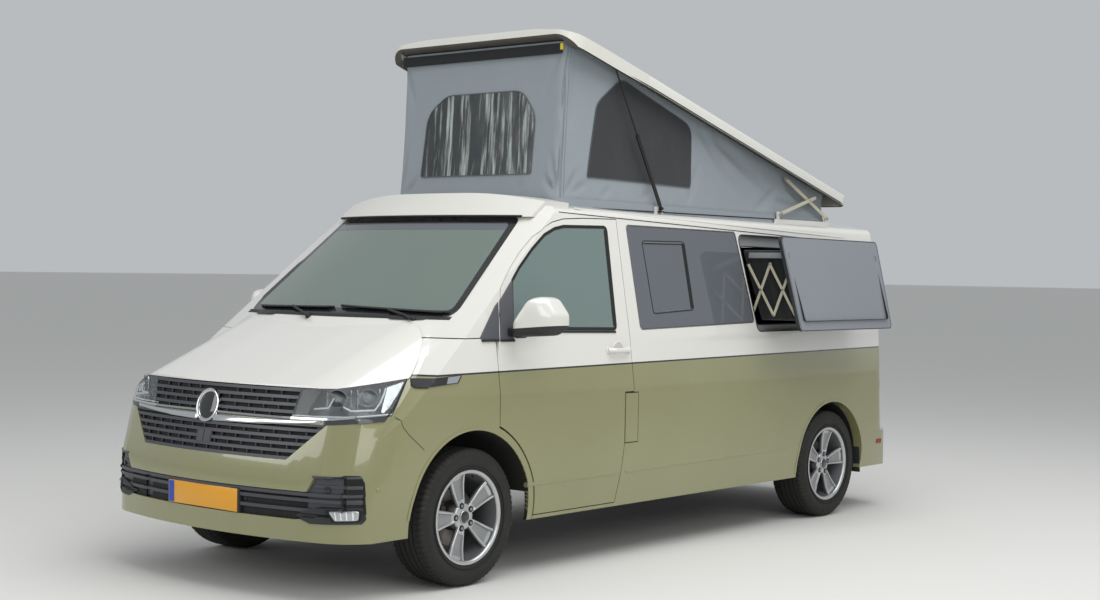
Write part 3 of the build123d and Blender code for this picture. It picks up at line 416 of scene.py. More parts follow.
def cord_mesh(points, radius, closed=False, flat=1.0, resolution=3):
    """Bmesh of a bead along points."""
    curve = bpy.data.curves.new("bead", "CURVE")
    curve.dimensions = "3D"
    curve.bevel_depth, curve.bevel_resolution, curve.use_fill_caps = radius, resolution, True
    line = curve.splines.new("POLY")
    line.points.add(len(points) - 1)
    for spot, p in zip(line.points, points):
        spot.co = (*p, 1.0)
    line.use_cyclic_u = closed
    holder = bpy.data.objects.new("bead", curve)
    scene.collection.objects.link(holder)
    mesh = bpy.data.meshes.new_from_object(holder)
    bm = bmesh.new()
    bm.from_mesh(mesh)
    bpy.data.objects.remove(holder)
    bpy.data.meshes.remove(mesh)
    bpy.data.curves.remove(curve)
    bmesh.ops.recalc_face_normals(bm, faces=bm.faces)
    return bm


def filled_in(points, step, closed=False):
    """Points added along straight runs, so that a bead can follow a curved surface."""
    points = [Vector(p) for p in points]
    ends = points[1:] + points[:1] if closed else points[1:]
    result = []
    for a, b in zip(points, ends):
        n = max(1, int((b - a).length / step))
        result += [a.lerp(b, k / n) for k in range(n)]
    return result if closed else result + [points[-1]]


def rounded(outline, radius, steps=5):
    """Flat outline with round corners."""
    result = []
    count = len(outline)
    for i, corner in enumerate(outline):
        here, before, after = Vector(corner), Vector(outline[i - 1]), Vector(outline[(i + 1) % count])
        r = radius[i] if isinstance(radius, (list, tuple)) else radius
        if r <= 0:
            result.append(tuple(here))
            continue
        a, b = (before - here).normalized(), (after - here).normalized()
        half = a.angle(b) / 2
        reach = min(r / math.tan(half), 0.48 * min((before - here).length, (after - here).length))
        start, end = here + a * reach, here + b * reach
        for k in range(steps + 1):
            t = k / steps
            result.append(tuple(start.lerp(here, t).lerp(here.lerp(end, t), t)))
    return result


def from_side(sign):
    """Lays (ahead, z) outlines in a plane beside the van."""
    return lambda a, z: (at(a), 1.5 * sign, z)


def from_front(y, z):
    return (4.0, y, z)


def from_tail(y, z):
    return (-4.0, y, z)


# Ways in which the rays run that lay a trim on the skin, seen from each side of the van
LEFT, FRONT, TAIL = (0, -1, 0), (-1, 0, 0), (1, 0, 0)


# ---------------------------------------------------------------- CAD nodes in their finishes

for name in ("side_left", "side_right", "sliding_door", "door_left", "door_right", "tailgate"):
    dress(name, PAINT, inner=LINING)
for name in ("rear_bumper", "front_bumper", "filler_flap"):
    dress(name, PAINT)
for name in ("wing_left", "wing_right"):
    piece = dress(name, PAINT)
    piece.data.materials.append(UNDER)
    for face in piece.data.polygons:
        if abs(face.center.y) < 0.925 and face.normal.y * face.center.y > -0.9 and abs(face.normal.y) < 0.3 and \
                math.hypot(face.center.x - AXLE_X, face.center.z - HUB_Z) < 0.445 or abs(face.center.y) < 0.7 and face.center.z < 0.75:
            face.material_index = 1
for name in ("bonnet", "front_frame"):
    dress(name, WHITE)
dress("roof", WHITE, inner=LINING)
dress("roof_cap", GELCOAT)
dress("windscreen", SCREEN)
dress("side_glass", DARK_GLASS)
dress("door_left_glass", SIDE_GLASS)
dress("door_right_glass", SIDE_GLASS)
dress("tailgate_glass", DARK_GLASS)
dress("bulkhead", UNDER)
dress("engine", IRON)
dress("strut_tubes", BLACK_ROD)
dress("strut_rods", BLACK_ROD)
for name in ("scissor_bars_a", "scissor_bars_b"):
    dress(name, CREAM)
dress("roof_brackets", WHITE)
dress("pod_frame", FRAME_GREY)
panel = dress("pod_panel", PANEL)
panel.data.materials.append(PANEL_EDGE)
for face in panel.data.polygons:
    face.material_index = int(abs(face.normal.y) < 0.6)
dress("front_subframe", UNDER)
dress("rear_axle", UNDER)
dress("knuckle_left", IRON)
dress("knuckle_right", IRON)
dress("floor", UNDER)
dress("dashboard", DASH)
dress("steering_wheel", LEATHER)
dress("tail_lamps", RED_LENS)


# ---------------------------------------------------------------- pop-top: cloth wall, windows, seals

TENT_FRONT, TENT_REAR, TENT_HALF = -1.003, -3.770, 0.655
TENT_FOOT = 1.953
SLOPE = math.tan(math.radians(15.0))


def shell_place(back, y, up):
    """Open place of a point given on the shut shell: back from its nose, up from its rim."""
    c, s = math.cos(math.radians(15)), math.sin(math.radians(15))
    return Vector((at(-0.985 - back * c - up * s), y, 2.7906 - back * s + up * c))


def even_run(points, step):
    """Closed path cut to even steps, starting at its first point."""
    points = [Vector((*p, 0.0)) for p in points]
    ends = points[1:] + points[:1]
    total = sum((b - a).length for a, b in zip(points, ends))
    count = round(total / step)
    result, walked, k = [], 0.0, 0
    for a, b in zip(points, ends):
        long = (b - a).length
        while k < count and k * total / count <= walked + long:
            result.append(a.lerp(b, (k * total / count - walked) / long if long else 0))
            k += 1
        walked += long
    return result, total


TENT_PLAN, TENT_ROUND = even_run(rounded(
    [(TENT_FRONT, 0.0), (TENT_FRONT, 0.615), (TENT_FRONT - 0.45, TENT_HALF), (TENT_REAR, TENT_HALF), (TENT_REAR, 0.0),
     (TENT_REAR, -TENT_HALF), (TENT_FRONT - 0.45, -TENT_HALF), (TENT_FRONT, -0.615)],
    [0, 0.045, 0.7, 0.06, 0, 0.06, 0.7, 0.045]), 0.02)
# Pinched folds in the wall: (run, height) to (run, height), depth and width, in metres; run is measured from the front's middle
FOLDS = [(0.60, 1.96, 0.50, 2.09, 0.016, 0.013), (0.60, 1.97, 0.545, 2.22, 0.013, 0.014), (0.62, 1.96, 0.60, 2.36, 0.009, 0.016),
         (0.66, 1.96, 0.76, 2.12, 0.013, 0.014), (0.67, 1.96, 0.86, 2.06, 0.009, 0.015), (0.64, 2.72, 0.60, 2.38, 0.010, 0.014),
         (0.58, 2.74, 0.46, 2.50, 0.008, 0.016), (0.70, 2.70, 0.68, 2.30, 0.007, 0.018), (0.95, 1.96, 1.04, 2.03, 0.008, 0.018),
         (1.30, 1.96, 1.45, 2.04, 0.006, 0.022), (1.78, 1.96, 1.92, 2.24, 0.008, 0.022), (1.92, 2.40, 2.35, 2.02, 0.010, 0.030),
         (2.10, 2.36, 2.75, 2.04, 0.013, 0.034), (2.55, 1.96, 2.80, 2.12, 0.012, 0.030), (2.78, 2.02, 3.12, 1.99, 0.012, 0.026),
         (2.90, 2.12, 3.20, 1.98, 0.010, 0.024), (3.10, 2.08, 3.30, 1.98, 0.010, 0.022), (0.30, 1.96, 0.36, 2.07, 0.006, 0.016),
         (-0.58, 1.96, -0.46, 2.09, 0.012, 0.014), (-0.60, 1.96, -0.56, 2.30, 0.010, 0.015),
         (-0.60, 2.74, -0.52, 2.50, 0.008, 0.015)]


def fold_depth(run, z):
    deep = 0.0
    for a, low, b, high, depth, width in FOLDS:
        line = Vector((b - a, high - low))
        t = max(0.0, min(1.0, (Vector((run - a, z - low)).dot(line)) / line.length_squared))
        gap = (Vector((run, z)) - Vector((a, low)) - line * t).length
        if gap < 4 * width:
            deep += depth * math.exp(-(gap / width) ** 2) * math.sin(math.pi * min(1.0, 0.15 + t * 0.85))
    return deep


def tent_top(ahead):
    """Height at which the cloth meets the open shell."""
    return 2.8180 - SLOPE * (-0.9948 - ahead)


def on_tent(run, z, lift=0.0):
    """Place on the tent wall: run along it from the middle of the front, left first."""
    k = (run % TENT_ROUND) / TENT_ROUND * len(TENT_PLAN)
    i = int(k)
    here, there = TENT_PLAN[i % len(TENT_PLAN)], TENT_PLAN[(i + 1) % len(TENT_PLAN)]
    spot, along = here.lerp(there, k - i), (there - here).normalized()
    out = Vector((along.y, -along.x, 0.0))
    top = tent_top(spot.x)
    t = max(0.0, min(1.0, (z - TENT_FOOT) / max(0.05, top - TENT_FOOT)))
    signed = run if run < TENT_ROUND / 2 else run - TENT_ROUND
    slack = math.sin(math.pi * t)
    deep = slack * (0.010 + 0.004 * noise.noise(Vector((signed * 1.7, z * 2.3, 3.0)))) + 1.6 * fold_depth(signed, z) * min(1.0,
        4 * slack)
    deep += 0.0022 * noise.noise(Vector((signed * 9, z * 6, 1.0))) + 0.0010 * noise.noise(Vector((signed * 38, z * 16, 5.0)))
    lean = 0.052 * min(1.0, (z - TENT_FOOT) / 0.82) * max(0.0, 1 - (TENT_FRONT - spot.x) / 0.7)
    return Vector((at(spot.x - lean), spot.y, z)) - Vector((out.x, out.y,
        0)) * (deep - lift) * (-1 if out.x * (spot.x + 2.4) + out.y * spot.y < 0 else 1)


def run_at(ahead, sign=1):
    """Run along the tent wall of a place on its left or right side."""
    count = len(TENT_PLAN)
    k = min(range(count - 1), key=lambda i: max(0.0, (TENT_PLAN[i].x - ahead) * (TENT_PLAN[i + 1].x - ahead)) + (9 if TENT_PLAN[i].y * sign < 0.5 else 0))
    here, there = TENT_PLAN[k].x, TENT_PLAN[k + 1].x
    return (k + (ahead - here) / (there - here)) / count * TENT_ROUND


def tent_sheet(outline, name, mat, lift, thick=0.0018, step=0.022):
    """Cloth panel cut to (run, z), sewn on the tent wall, that folds with it."""
    bm = bmesh.new()
    bm.faces.new([bm.verts.new((run, z, 0)) for run, z in outline])
    for axis in ((1, 0, 0), (0, 1, 0)):
        spans = [v.co.dot(Vector(axis)) for v in bm.verts]
        for k in range(1, int((max(spans) - min(spans)) / step) + 1):
            bmesh.ops.bisect_plane(bm, geom=bm.verts[:] + bm.edges[:] + bm.faces[:], dist=1e-6,
                                   plane_co=Vector(axis) * (min(spans) + k * step), plane_no=axis)
    for v in bm.verts:
        v.co = on_tent(v.co.x, v.co.y, lift)
    bmesh.ops.recalc_face_normals(bm, faces=bm.faces)
    bmesh.ops.solidify(bm, geom=bm.faces[:], thickness=thick)
    return settle(bm, name, mat, "body", 60)


def tent_cord(spots, name, mat, radius, lift, closed=True):
    path = [on_tent(p.x, p.y, lift) for p in filled_in([(*s, 0.0) for s in spots], 0.02, closed)]
    return settle(cord_mesh(path, radius, closed, resolution=1), name, mat, "body", 60)


def fold_down(*pieces):
    for piece in pieces:
        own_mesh(piece)


wall = bmesh.new()
bmesh.ops.create_grid(wall, x_segments=640, y_segments=44, size=0.5)
for v in wall.verts:
    run = (v.co.x + 0.5) * TENT_ROUND
    k = int((v.co.x + 0.5) * len(TENT_PLAN)) % len(TENT_PLAN)
    ahead = TENT_PLAN[k].x
    foot = TENT_FOOT - 0.010 * (-0.812 - ahead)
    v.co = on_tent(run, foot + (v.co.y + 0.5) * (tent_top(ahead) - foot))
bmesh.ops.remove_doubles(wall, verts=wall.verts, dist=0.001)
bmesh.ops.recalc_face_normals(wall, faces=wall.faces)
wall_area = sum(f.calc_area() for f in wall.faces)
bmesh.ops.solidify(wall, geom=wall.faces[:], thickness=0.002)
tent = settle(wall, "tent_wall_cloth", CLOTH, "body", 60)
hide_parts("canvas")
sewn = []
FRONT_WINDOW = rounded([(-0.430, 2.092), (0.415, 2.092), (0.425, 2.42), (0.32, 2.560), (-0.25, 2.560), (-0.405, 2.46)],
                       [0.012, 0.012, 0.16, 0.13, 0.13, 0.20], 6)
SIDE_NET = rounded([(-1.237, 2.079), (-2.215, 2.064), (-2.212, 2.43), (-1.50, 2.652), (-1.30, 2.50)],
    [0.01, 0.01, 0.12, 0.13, 0.12], 6)
sewn.append(tent_sheet(FRONT_WINDOW, "tent_front_film", FILM, 0.0030))
sewn.append(tent_cord(FRONT_WINDOW, "tent_front_piping", CLOTH_EDGE, 0.0028, 0.0040))
for side in (1, -1):
    net = [(run_at(ahead, side), z) for ahead, z in SIDE_NET]
    sewn.append(tent_sheet(net, "tent_side_net_" + ("left" if side > 0 else "right"), MESH_WINDOW, 0.0030))
    sewn.append(tent_cord(net, "tent_side_piping_" + ("left" if side > 0 else "right"), CLOTH_EDGE, 0.0028, 0.0040))
    seam = (0.642 * side) % TENT_ROUND
    sewn.append(tent_sheet([(seam - 0.012, 1.957), (seam + 0.012, 1.957), (seam + 0.012, 2.80), (seam - 0.012, 2.80)],
                           "tent_corner_tape_" + ("left" if side > 0 else "right"), CLOTH, 0.0026))
    stitches = bmesh.new()
    for row in (-0.008, 0.008):
        for k in range(84):
            spot = on_tent(seam + row, 1.97 + k * 0.0098, 0.0050)
            block(stitches, (0.0016, 0.0016, 0.0048), spot)
    sewn.append(settle(stitches, "tent_corner_stitches_" + ("left" if side > 0 else "right"), CLOTH_EDGE, "body"))
skirt = bmesh.new()
bmesh.ops.create_grid(skirt, x_segments=200, y_segments=2, size=0.5)
for v in skirt.verts:
    run = (v.co.x + 0.5) * TENT_ROUND
    ahead = TENT_PLAN[int((v.co.x + 0.5) * len(TENT_PLAN)) % len(TENT_PLAN)].x
    v.co = on_tent(run, TENT_FOOT - 0.010 * (-0.812 - ahead) - 0.046 + (v.co.y + 0.5) * 0.052, 0.0068)
bmesh.ops.remove_doubles(skirt, verts=skirt.verts, dist=0.001)
bmesh.ops.recalc_face_normals(skirt, faces=skirt.faces)
bmesh.ops.solidify(skirt, geom=skirt.faces[:], thickness=0.0018)
skirt = settle(skirt, "tent_foot_skirt", CLOTH, "body", 60)
hem = tent_cord([(k * TENT_ROUND / 60, TENT_FOOT - 0.010 * (-0.812 - TENT_PLAN[int(k / 60 * len(TENT_PLAN))].x) - 0.044) for k in range(60)],
                "tent_foot_welt", SEAL, 0.0035, 0.0070)
binding = bmesh.new()
block(binding, (0.006, 1.222, 0.056), (at(-1.042), 0, 2.775))
round_edges(binding, 0.002, 2)
sewn.append(settle(binding, "tent_top_binding", CLOTH_BINDING, "body"))
fold_down(tent, *sewn)
sewn += [skirt, hem]

top = dress("roof_shell", GELCOAT)
top.data.materials.append(SHELL_LINING)
for face in top.data.polygons:
    face.material_index = int(face.normal.z < -0.35)
rim = even_run(rounded([(0.100, 0.0), (0.100, 0.700), (0.70, 0.739), (3.000, 0.739), (3.000, -0.739), (0.70, -0.739),
    (0.100, -0.700)],
                       [0, 0.10, 0.9, 0.055, 0.055, 0.9, 0.10]), 0.04)[0]
SHELL_SKIN = skin("roof_shell")


def under_shell(back, y):
    """Place of a seal's middle half sunk into the shell's underside, in the open pose."""
    foot = shell_place(back, y, -0.3)
    up = (shell_place(back, y, 0.0) - foot).normalized()
    hit = SHELL_SKIN.ray_cast(foot, up)[0]
    return hit + up * 0.0060


settle(cord_mesh([under_shell(p.x, p.y) for p in rim], 0.0075, True), "shell_rim_seal", SEAL, "roof_shell", 60)
tape = bmesh.new()
block(tape, (0.004, 0.020, 0.036), (at(-1.040), 0.606, 2.784))
round_edges(tape, 0.0015, 2)
settle(tape, "shell_pull_tab", YELLOW_TAB, "roof_shell")
ribs = bmesh.new()
for y in (-0.46, -0.23, 0.0, 0.23, 0.46):
    long = block(ribs, (2.20, 0.060, 0.018), (0, 0, 0))
    for v in long:
        at_end = abs(v.co.x) > 1.0
        up = 0.0955 + 0.0001 + (0.103 - 0.0955) * (1 - (y / 0.46) ** 2)
        v.co = shell_place(1.62 - v.co.x, y + v.co.y, up + (0.0045 if v.co.z > 0 else -0.012))
round_edges(ribs, 0.0035, 3)
settle(ribs, "shell_top_ribs", GELCOAT, "roof_shell")

# Strut end fittings, bar rivets and foot screws
knobs = bmesh.new()
for side in (1, -1):
    for ahead, z, y in ((-3.736, 1.930, 0.6925), (-3.150, 1.944, 0.7065)):
        spun(knobs, [(0, -0.004), (0.0085, -0.004), (0.0085, 0.0005), (0.006, 0.003), (0, 0.0035)], (at(ahead), y * side, z),
            (0, side, 0), 14)
settle(knobs, "bar_pivot_rivets", STEEL, "body")
links = bmesh.new()
crossing = bmesh.new()
for side in (1, -1):
    block(links, (0.020, 0.004, 0.062), (at(-3.153), side * 0.6685, 1.917))
    block(links, (0.580, 0.010, 0.006), (at(-3.440), side * 0.6640, 1.8985), Matrix.Rotation(0.010, 3, "Y"))
    for k in range(12):
        block(links, (0.012, 0.014, 0.010), (at(-3.180 - k * 0.048), side * 0.6660, 1.9045 - k * 0.0005))
    spun(crossing, [(0, -0.019), (0.007, -0.019), (0.007, 0.0025), (0.005, 0.004), (0, 0.0045)],
        (at(-3.4942), side * 0.7010, 2.0413), (0, side, 0), 14)
    spun(crossing, [(0, -0.010), (0.0085, -0.010), (0.0085, 0.002), (0, 0.003)], (at(-3.219), side * 0.6900, 2.168), (0, side, 0),
        14)
round_edges(links, 0.0015, 2)
settle(links, "scissor_links_and_rail", CREAM, "body")
settle(crossing, "scissor_crossing_rivets", STEEL, "scissor_a")
feet = bmesh.new()
for side in (1, -1):
    block(feet, (0.040, 0.020, 0.010), (at(-1.872), side * 0.684, 1.9085))
    spun(feet, [(0, -0.002), (0.011, -0.002), (0.011, 0.003), (0.007, 0.006), (0, 0.0065)], (at(-1.870), side * 0.695, 1.927),
        (0, side, 0), 16)
round_edges(feet, 0.002, 2)
settle(feet, "strut_feet", BLACK_ROD, "body")


# ---------------------------------------------------------------- nose: grille, lamps, bumper

HULL = skin("side_left", "side_right", "sliding_door", "side_glass", "filler_flap", "door_left", "door_right", "door_left_glass",
            "door_right_glass", "tailgate", "tailgate_glass", "tail_lamps", "rear_bumper", "bonnet", "front_bumper", "wing_left",
            "wing_right", "headlamps", "grille", "lower_intake", "front_frame", "windscreen", "roof", "roof_cap")


FRONT_OUT = Vector((1, 0, 0))


def nose_x(y, z):
    """X of the bowed, leaning nose."""
    return 2.652 - max(0.0, 0.25 * (z - 0.6)) - (3.008 - math.sqrt(3.008 ** 2 - y * y))


def with_painted_shade_back(node, mat, depth):
    """CAD copy whose faces lying deeper than depth behind the nose are painted black as shade."""
    piece = dress(node, mat)
    piece.data.materials.append(PAINTED_SHADE_BLACK)
    for face in piece.data.polygons:
        c = face.center
        corner = max(0.0, abs(c.y) - 0.66)
        face.material_index = int(c.x < nose_x(c.y, c.z) - depth - corner * 0.9)
    return piece


with_painted_shade_back("grille", SLATS, 0.010)
intake = cad_copy("lower_intake")
bmesh.ops.delete(intake, geom=[f for f in intake.faces if all(abs(v.co.y) < 0.2630 and 0.3895 < v.co.z < 0.5005 and v.co.x > 2.609 for v in f.verts)], context="FACES")
intake = settle(intake, "lower_intake_slats", SLATS, "body", 32, (PAINTED_SHADE_BLACK,))
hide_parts("lower_intake")
# faces lying deeper behind the nose are painted black as shade
for face in intake.data.polygons:
    c = face.center
    face.material_index = int(c.x < nose_x(c.y, c.z) - 0.010 - max(0.0, abs(c.y) - 0.66) * 0.9)
fins = bmesh.new()
for row, (low, high, half_low, half_high) in enumerate(((0.6715, 0.6895, 0.53, 0.56), (0.7045, 0.7225, 0.56, 0.60),
    (0.7375, 0.7555, 0.60, 0.63),
                                                        (0.7705, 0.7885, 0.64, 0.66), (0.8495, 0.8685, 0.46, 0.46),
                                                        (0.8835, 0.9025, 0.47, 0.47),
                                                        (0.9175, 0.9365, 0.48, 0.48), (0.9515, 0.9705, 0.49, 0.49))):
    z = (low + high) / 2
    for k in range(-8, 9):
        y = (k + (row % 2) / 2) * 0.095
        if abs(y) < half_low and (row < 4 or abs(y) > 0.085):
            block(fins, (0.016, 0.006, high - low + 0.004), (nose_x(y, z) - 0.012, y, z))
settle(fins, "grille_uprights", SLATS, "body")
middle = bmesh.new()
block(middle, (0.010, 0.108, 0.070), (nose_x(0.03, 0.733) - 0.004, -0.028, 0.733), Matrix.Rotation(-0.24, 3, "Y"))
round_edges(middle, 0.004, 3)
for dy in (-0.027, 0.027):
    block(middle, (0.004, 0.046, 0.062), (nose_x(0.03, 0.733) + 0.0015, -0.028 + dy, 0.733), Matrix.Rotation(-0.24, 3, "Y"))
settle(middle, "distance_sensor_cover", SLATS, "body")

tilt = Matrix.Rotation(-math.atan(0.25), 3, "Y")
disc_at = Vector((nose_x(0, 0.877) + 0.004, -0.036, 0.877))
disc = bmesh.new()
spun(disc, [(0.066, 0.004), (0.070, 0.0095), (0.0765, 0.0120), (0.0825, 0.0090), (0.0840, 0.0), (0.0840, -0.022), (0.062, -0.022),
    (0.062, 0.002)],
     disc_at, tilt @ Vector((1, 0, 0)), 96, (0, 1, 0))
settle(disc, "badge_place_ring", CHROME, "body", 50)
disc = bmesh.new()
spun(disc, [(0, 0.0075), (0.030, 0.0068), (0.055, 0.0050), (0.067, 0.0030), (0.067, -0.020), (0, -0.020)], disc_at,
    tilt @ Vector((1, 0, 0)), 96, (0, 1, 0))
settle(disc, "badge_place_disc", PIANO, "body", 50)

for side, name in ((1, "left"), (-1, "right")):
    thin = [(side * 0.030 - 0.072 * (side < 0), 0.8515), (side * 0.30, 0.850), (side * 0.462, 0.849), (side * 0.60, 0.850),
        (side * 0.75, 0.853), (side * 0.84, 0.864)]
    settle(band(thin, 0.0095, from_front, HULL, FRONT, 0.0045, 0.010), f"thin_chrome_line_{name}", CHROME, "body")
    thick = [(side * 0.020 - 0.082 * (side < 0), 0.8215), (side * 0.33, 0.8225), (side * 0.58, 0.832), (side * 0.690, 0.840)]
    piece = band(thick, (0.0300, 0.0120), from_front, HULL, FRONT, 0.0070, 0.014)
    round_edges(piece, 0.0025, 2, 50)
    settle(piece, f"thick_chrome_strip_{name}", CHROME, "body")
    dark = [(side * 0.700, 0.8355), (side * 0.80, 0.8420), (side * 0.870, 0.8480), (side * 0.895, 0.8530)]
    settle(band(dark, (0.0250, 0.0200), from_front, HULL, FRONT, 0.0025, 0.008), f"indicator_lens_{name}", SMOKE, "body")


def lamp_place(side, turn, z, deep=0.0):
    """Place on the lamp's lens: turn from straight ahead round to the side, in degrees, and depth behind the lens."""
    way = Vector((math.cos(math.radians(turn)), side * math.sin(math.radians(turn)), 0))
    heart = Vector((at(0.25), side * 0.45, z))
    hit = LAMP_SKIN.ray_cast(heart + way * 1.2, -way)[0]
    return (hit if hit else heart + way * 0.5) - way * deep


def lamp_tube(side, spots, radius, deep):
    spots = filled_in([(*s, 0.0) for s in spots], 3.0)
    return cord_mesh([lamp_place(side, p.x, p.y / 100, deep) for p in spots], radius, resolution=2)


LAMP_SKIN = skin("headlamps")
for side, name in ((1, "left"), (-1, "right")):
    heart = Vector((at(0.25), side * 0.45, 0.93))
    lens, tub = cad_copy("headlamps"), cad_copy("headlamps")
    for bm in (lens, tub):
        bmesh.ops.delete(bm, geom=[f for f in bm.faces if f.calc_center_median().y * side < 0], context="FACES")
    def faces_out(face):
        away = face.calc_center_median() - heart
        away.z = 0
        return face.normal.dot(away.normalized()) > 0.45 and abs(face.normal.z) < 0.75
    bmesh.ops.delete(lens, geom=[f for f in lens.faces if not faces_out(f)], context="FACES")
    bmesh.ops.solidify(lens, geom=lens.faces[:], thickness=0.003)
    cover = settle(lens, f"headlamp_lens_{name}", LENS, "body", 40)
    if side > 0:
        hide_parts("headlamps")
    bmesh.ops.delete(tub, geom=[f for f in tub.faces if faces_out(f)], context="FACES")
    bmesh.ops.solidify(tub, geom=tub.faces[:], thickness=0.0025)
    settle(tub, f"headlamp_housing_{name}", LAMP_GREY, "body", 40)
    # smoky inner wedge, two chromed chambers, light guides, projector, bright outer end
    wedge = draped([(side * 0.470, 0.858), (side * 0.600, 0.862), (side * 0.606, 0.895), (side * 0.650, 0.992),
        (side * 0.532, 0.984)], from_front, LAMP_SKIN, FRONT, -0.009, 0.003)
    settle(wedge, f"headlamp_inner_wedge_{name}", WEDGE_GREY, "body")
    for unit, (first, last, floor_z, top_z) in enumerate(((25.5, 37.5, 0.905, 0.985), (41.0, 53.0, 0.900, 0.988))):
        cup = bmesh.new()
        mid = (first + last) / 2
        centre = lamp_place(side, mid, 0.945, 0.030)
        way = Vector((math.cos(math.radians(mid)), side * math.sin(math.radians(mid)), 0))
        spun(cup, [(0.020, -0.045), (0.030, -0.030), (0.040, -0.010), (0.046, 0.008), (0.049, 0.008), (0.043, -0.012),
            (0.022, -0.048)],
             centre, way, 40, (0, 0, 1))
        for v in cup.verts:
            v.co.z = 0.945 + (v.co.z - 0.945) * 0.86
        settle(cup, f"headlamp_reflector_{unit}_{name}", REFLECTOR, "body", 60)
        bulb = bmesh.new()
        spun(bulb, [(0, 0.006), (0.012, 0.004), (0.021, -0.006), (0.024, -0.020), (0.024, -0.040), (0, -0.040)], centre, way, 32,
            (0, 0, 1))
        settle(bulb, f"headlamp_projector_{unit}_{name}", PROJECTOR if unit else REFLECTOR, "body", 60)
        for k, turn in enumerate((first, last)):
            face = bmesh.new()
            low, high = lamp_place(side, turn, floor_z, 0.014), lamp_place(side, turn + 1.5, top_z, 0.014)
            block(face, (0.030, 0.004, high.z - low.z), (low + high) / 2 - way * 0.012,
                Matrix.Rotation(math.radians(turn) * side, 3, "Z"))
            round_edges(face, 0.0012, 2)
            settle(face, f"headlamp_chamber_wall_{unit}{k}_{name}", REFLECTOR, "body")
    guides = lamp_tube(side, [(19.5, 89.4), (27.5, 90.2), (29.0, 92.5), (31.0, 97.5)], 0.0042, 0.010)
    settle(guides, f"light_guide_inner_{name}", GUIDE, "body", 60)
    guides = lamp_tube(side, [(35.5, 91.0), (39.0, 89.2), (50.5, 89.2), (54.0, 92.5), (58.5, 98.8)], 0.0045, 0.010)
    settle(guides, f"light_guide_outer_{name}", GUIDE, "body", 60)
    guides = lamp_tube(side, [(4.0, 85.9), (30.0, 86.2), (62.0, 87.2)], 0.0038, 0.006)
    settle(guides, f"light_line_{name}", GUIDE, "body", 60)
    end = bmesh.new()
    for k in range(9):
        low, high = lamp_place(side, 54.5 + k * 0.45, 0.880 + k * 0.003, 0.010), lamp_place(side, 60.5 + k * 1.45,
            0.992 + k * 0.0025, 0.010)
        block(end, (0.0035, 0.013, (high - low).length), (low + high) / 2,
              (Vector((0, 0, 1)).rotation_difference((high - low).normalized())).to_matrix() @ Matrix.Rotation(math.radians(70) * side, 3, "Z"))
    settle(end, f"headlamp_outer_reflector_{name}", REFLECTOR, "body")
    rim = [lamp_place(side, t, z, -0.001) for t, z in ((5.0, 0.853), (20, 0.853), (40, 0.855), (57.0, 0.862), (61.6, 0.900),
        (66.2, 0.950), (71.4, 1.000), (74.8, 1.026))]
    settle(cord_mesh(rim, 0.0030), f"headlamp_edge_seal_{name}", SEAL, "body", 60)
    # black strip on the wing with a plain silver end
    settle(draped([(0.335, 1.0315), (0.115, 1.0425), (0.085, 1.0445), (0.115, 1.006), (0.190, 1.002), (0.352, 0.992)],
        from_side(side), HULL,
                  (0, -side, 0), 0.0055, 0.010, 0.010), f"wing_strip_{name}", PLASTIC, "body")
    settle(draped([(0.186, 1.0360), (0.098, 1.0415), (0.125, 1.0085), (0.200, 1.0050)], from_side(side), HULL,
                  (0, -side, 0), 0.0072, 0.006, 0.010), f"wing_strip_end_{name}", CHROME, "body")

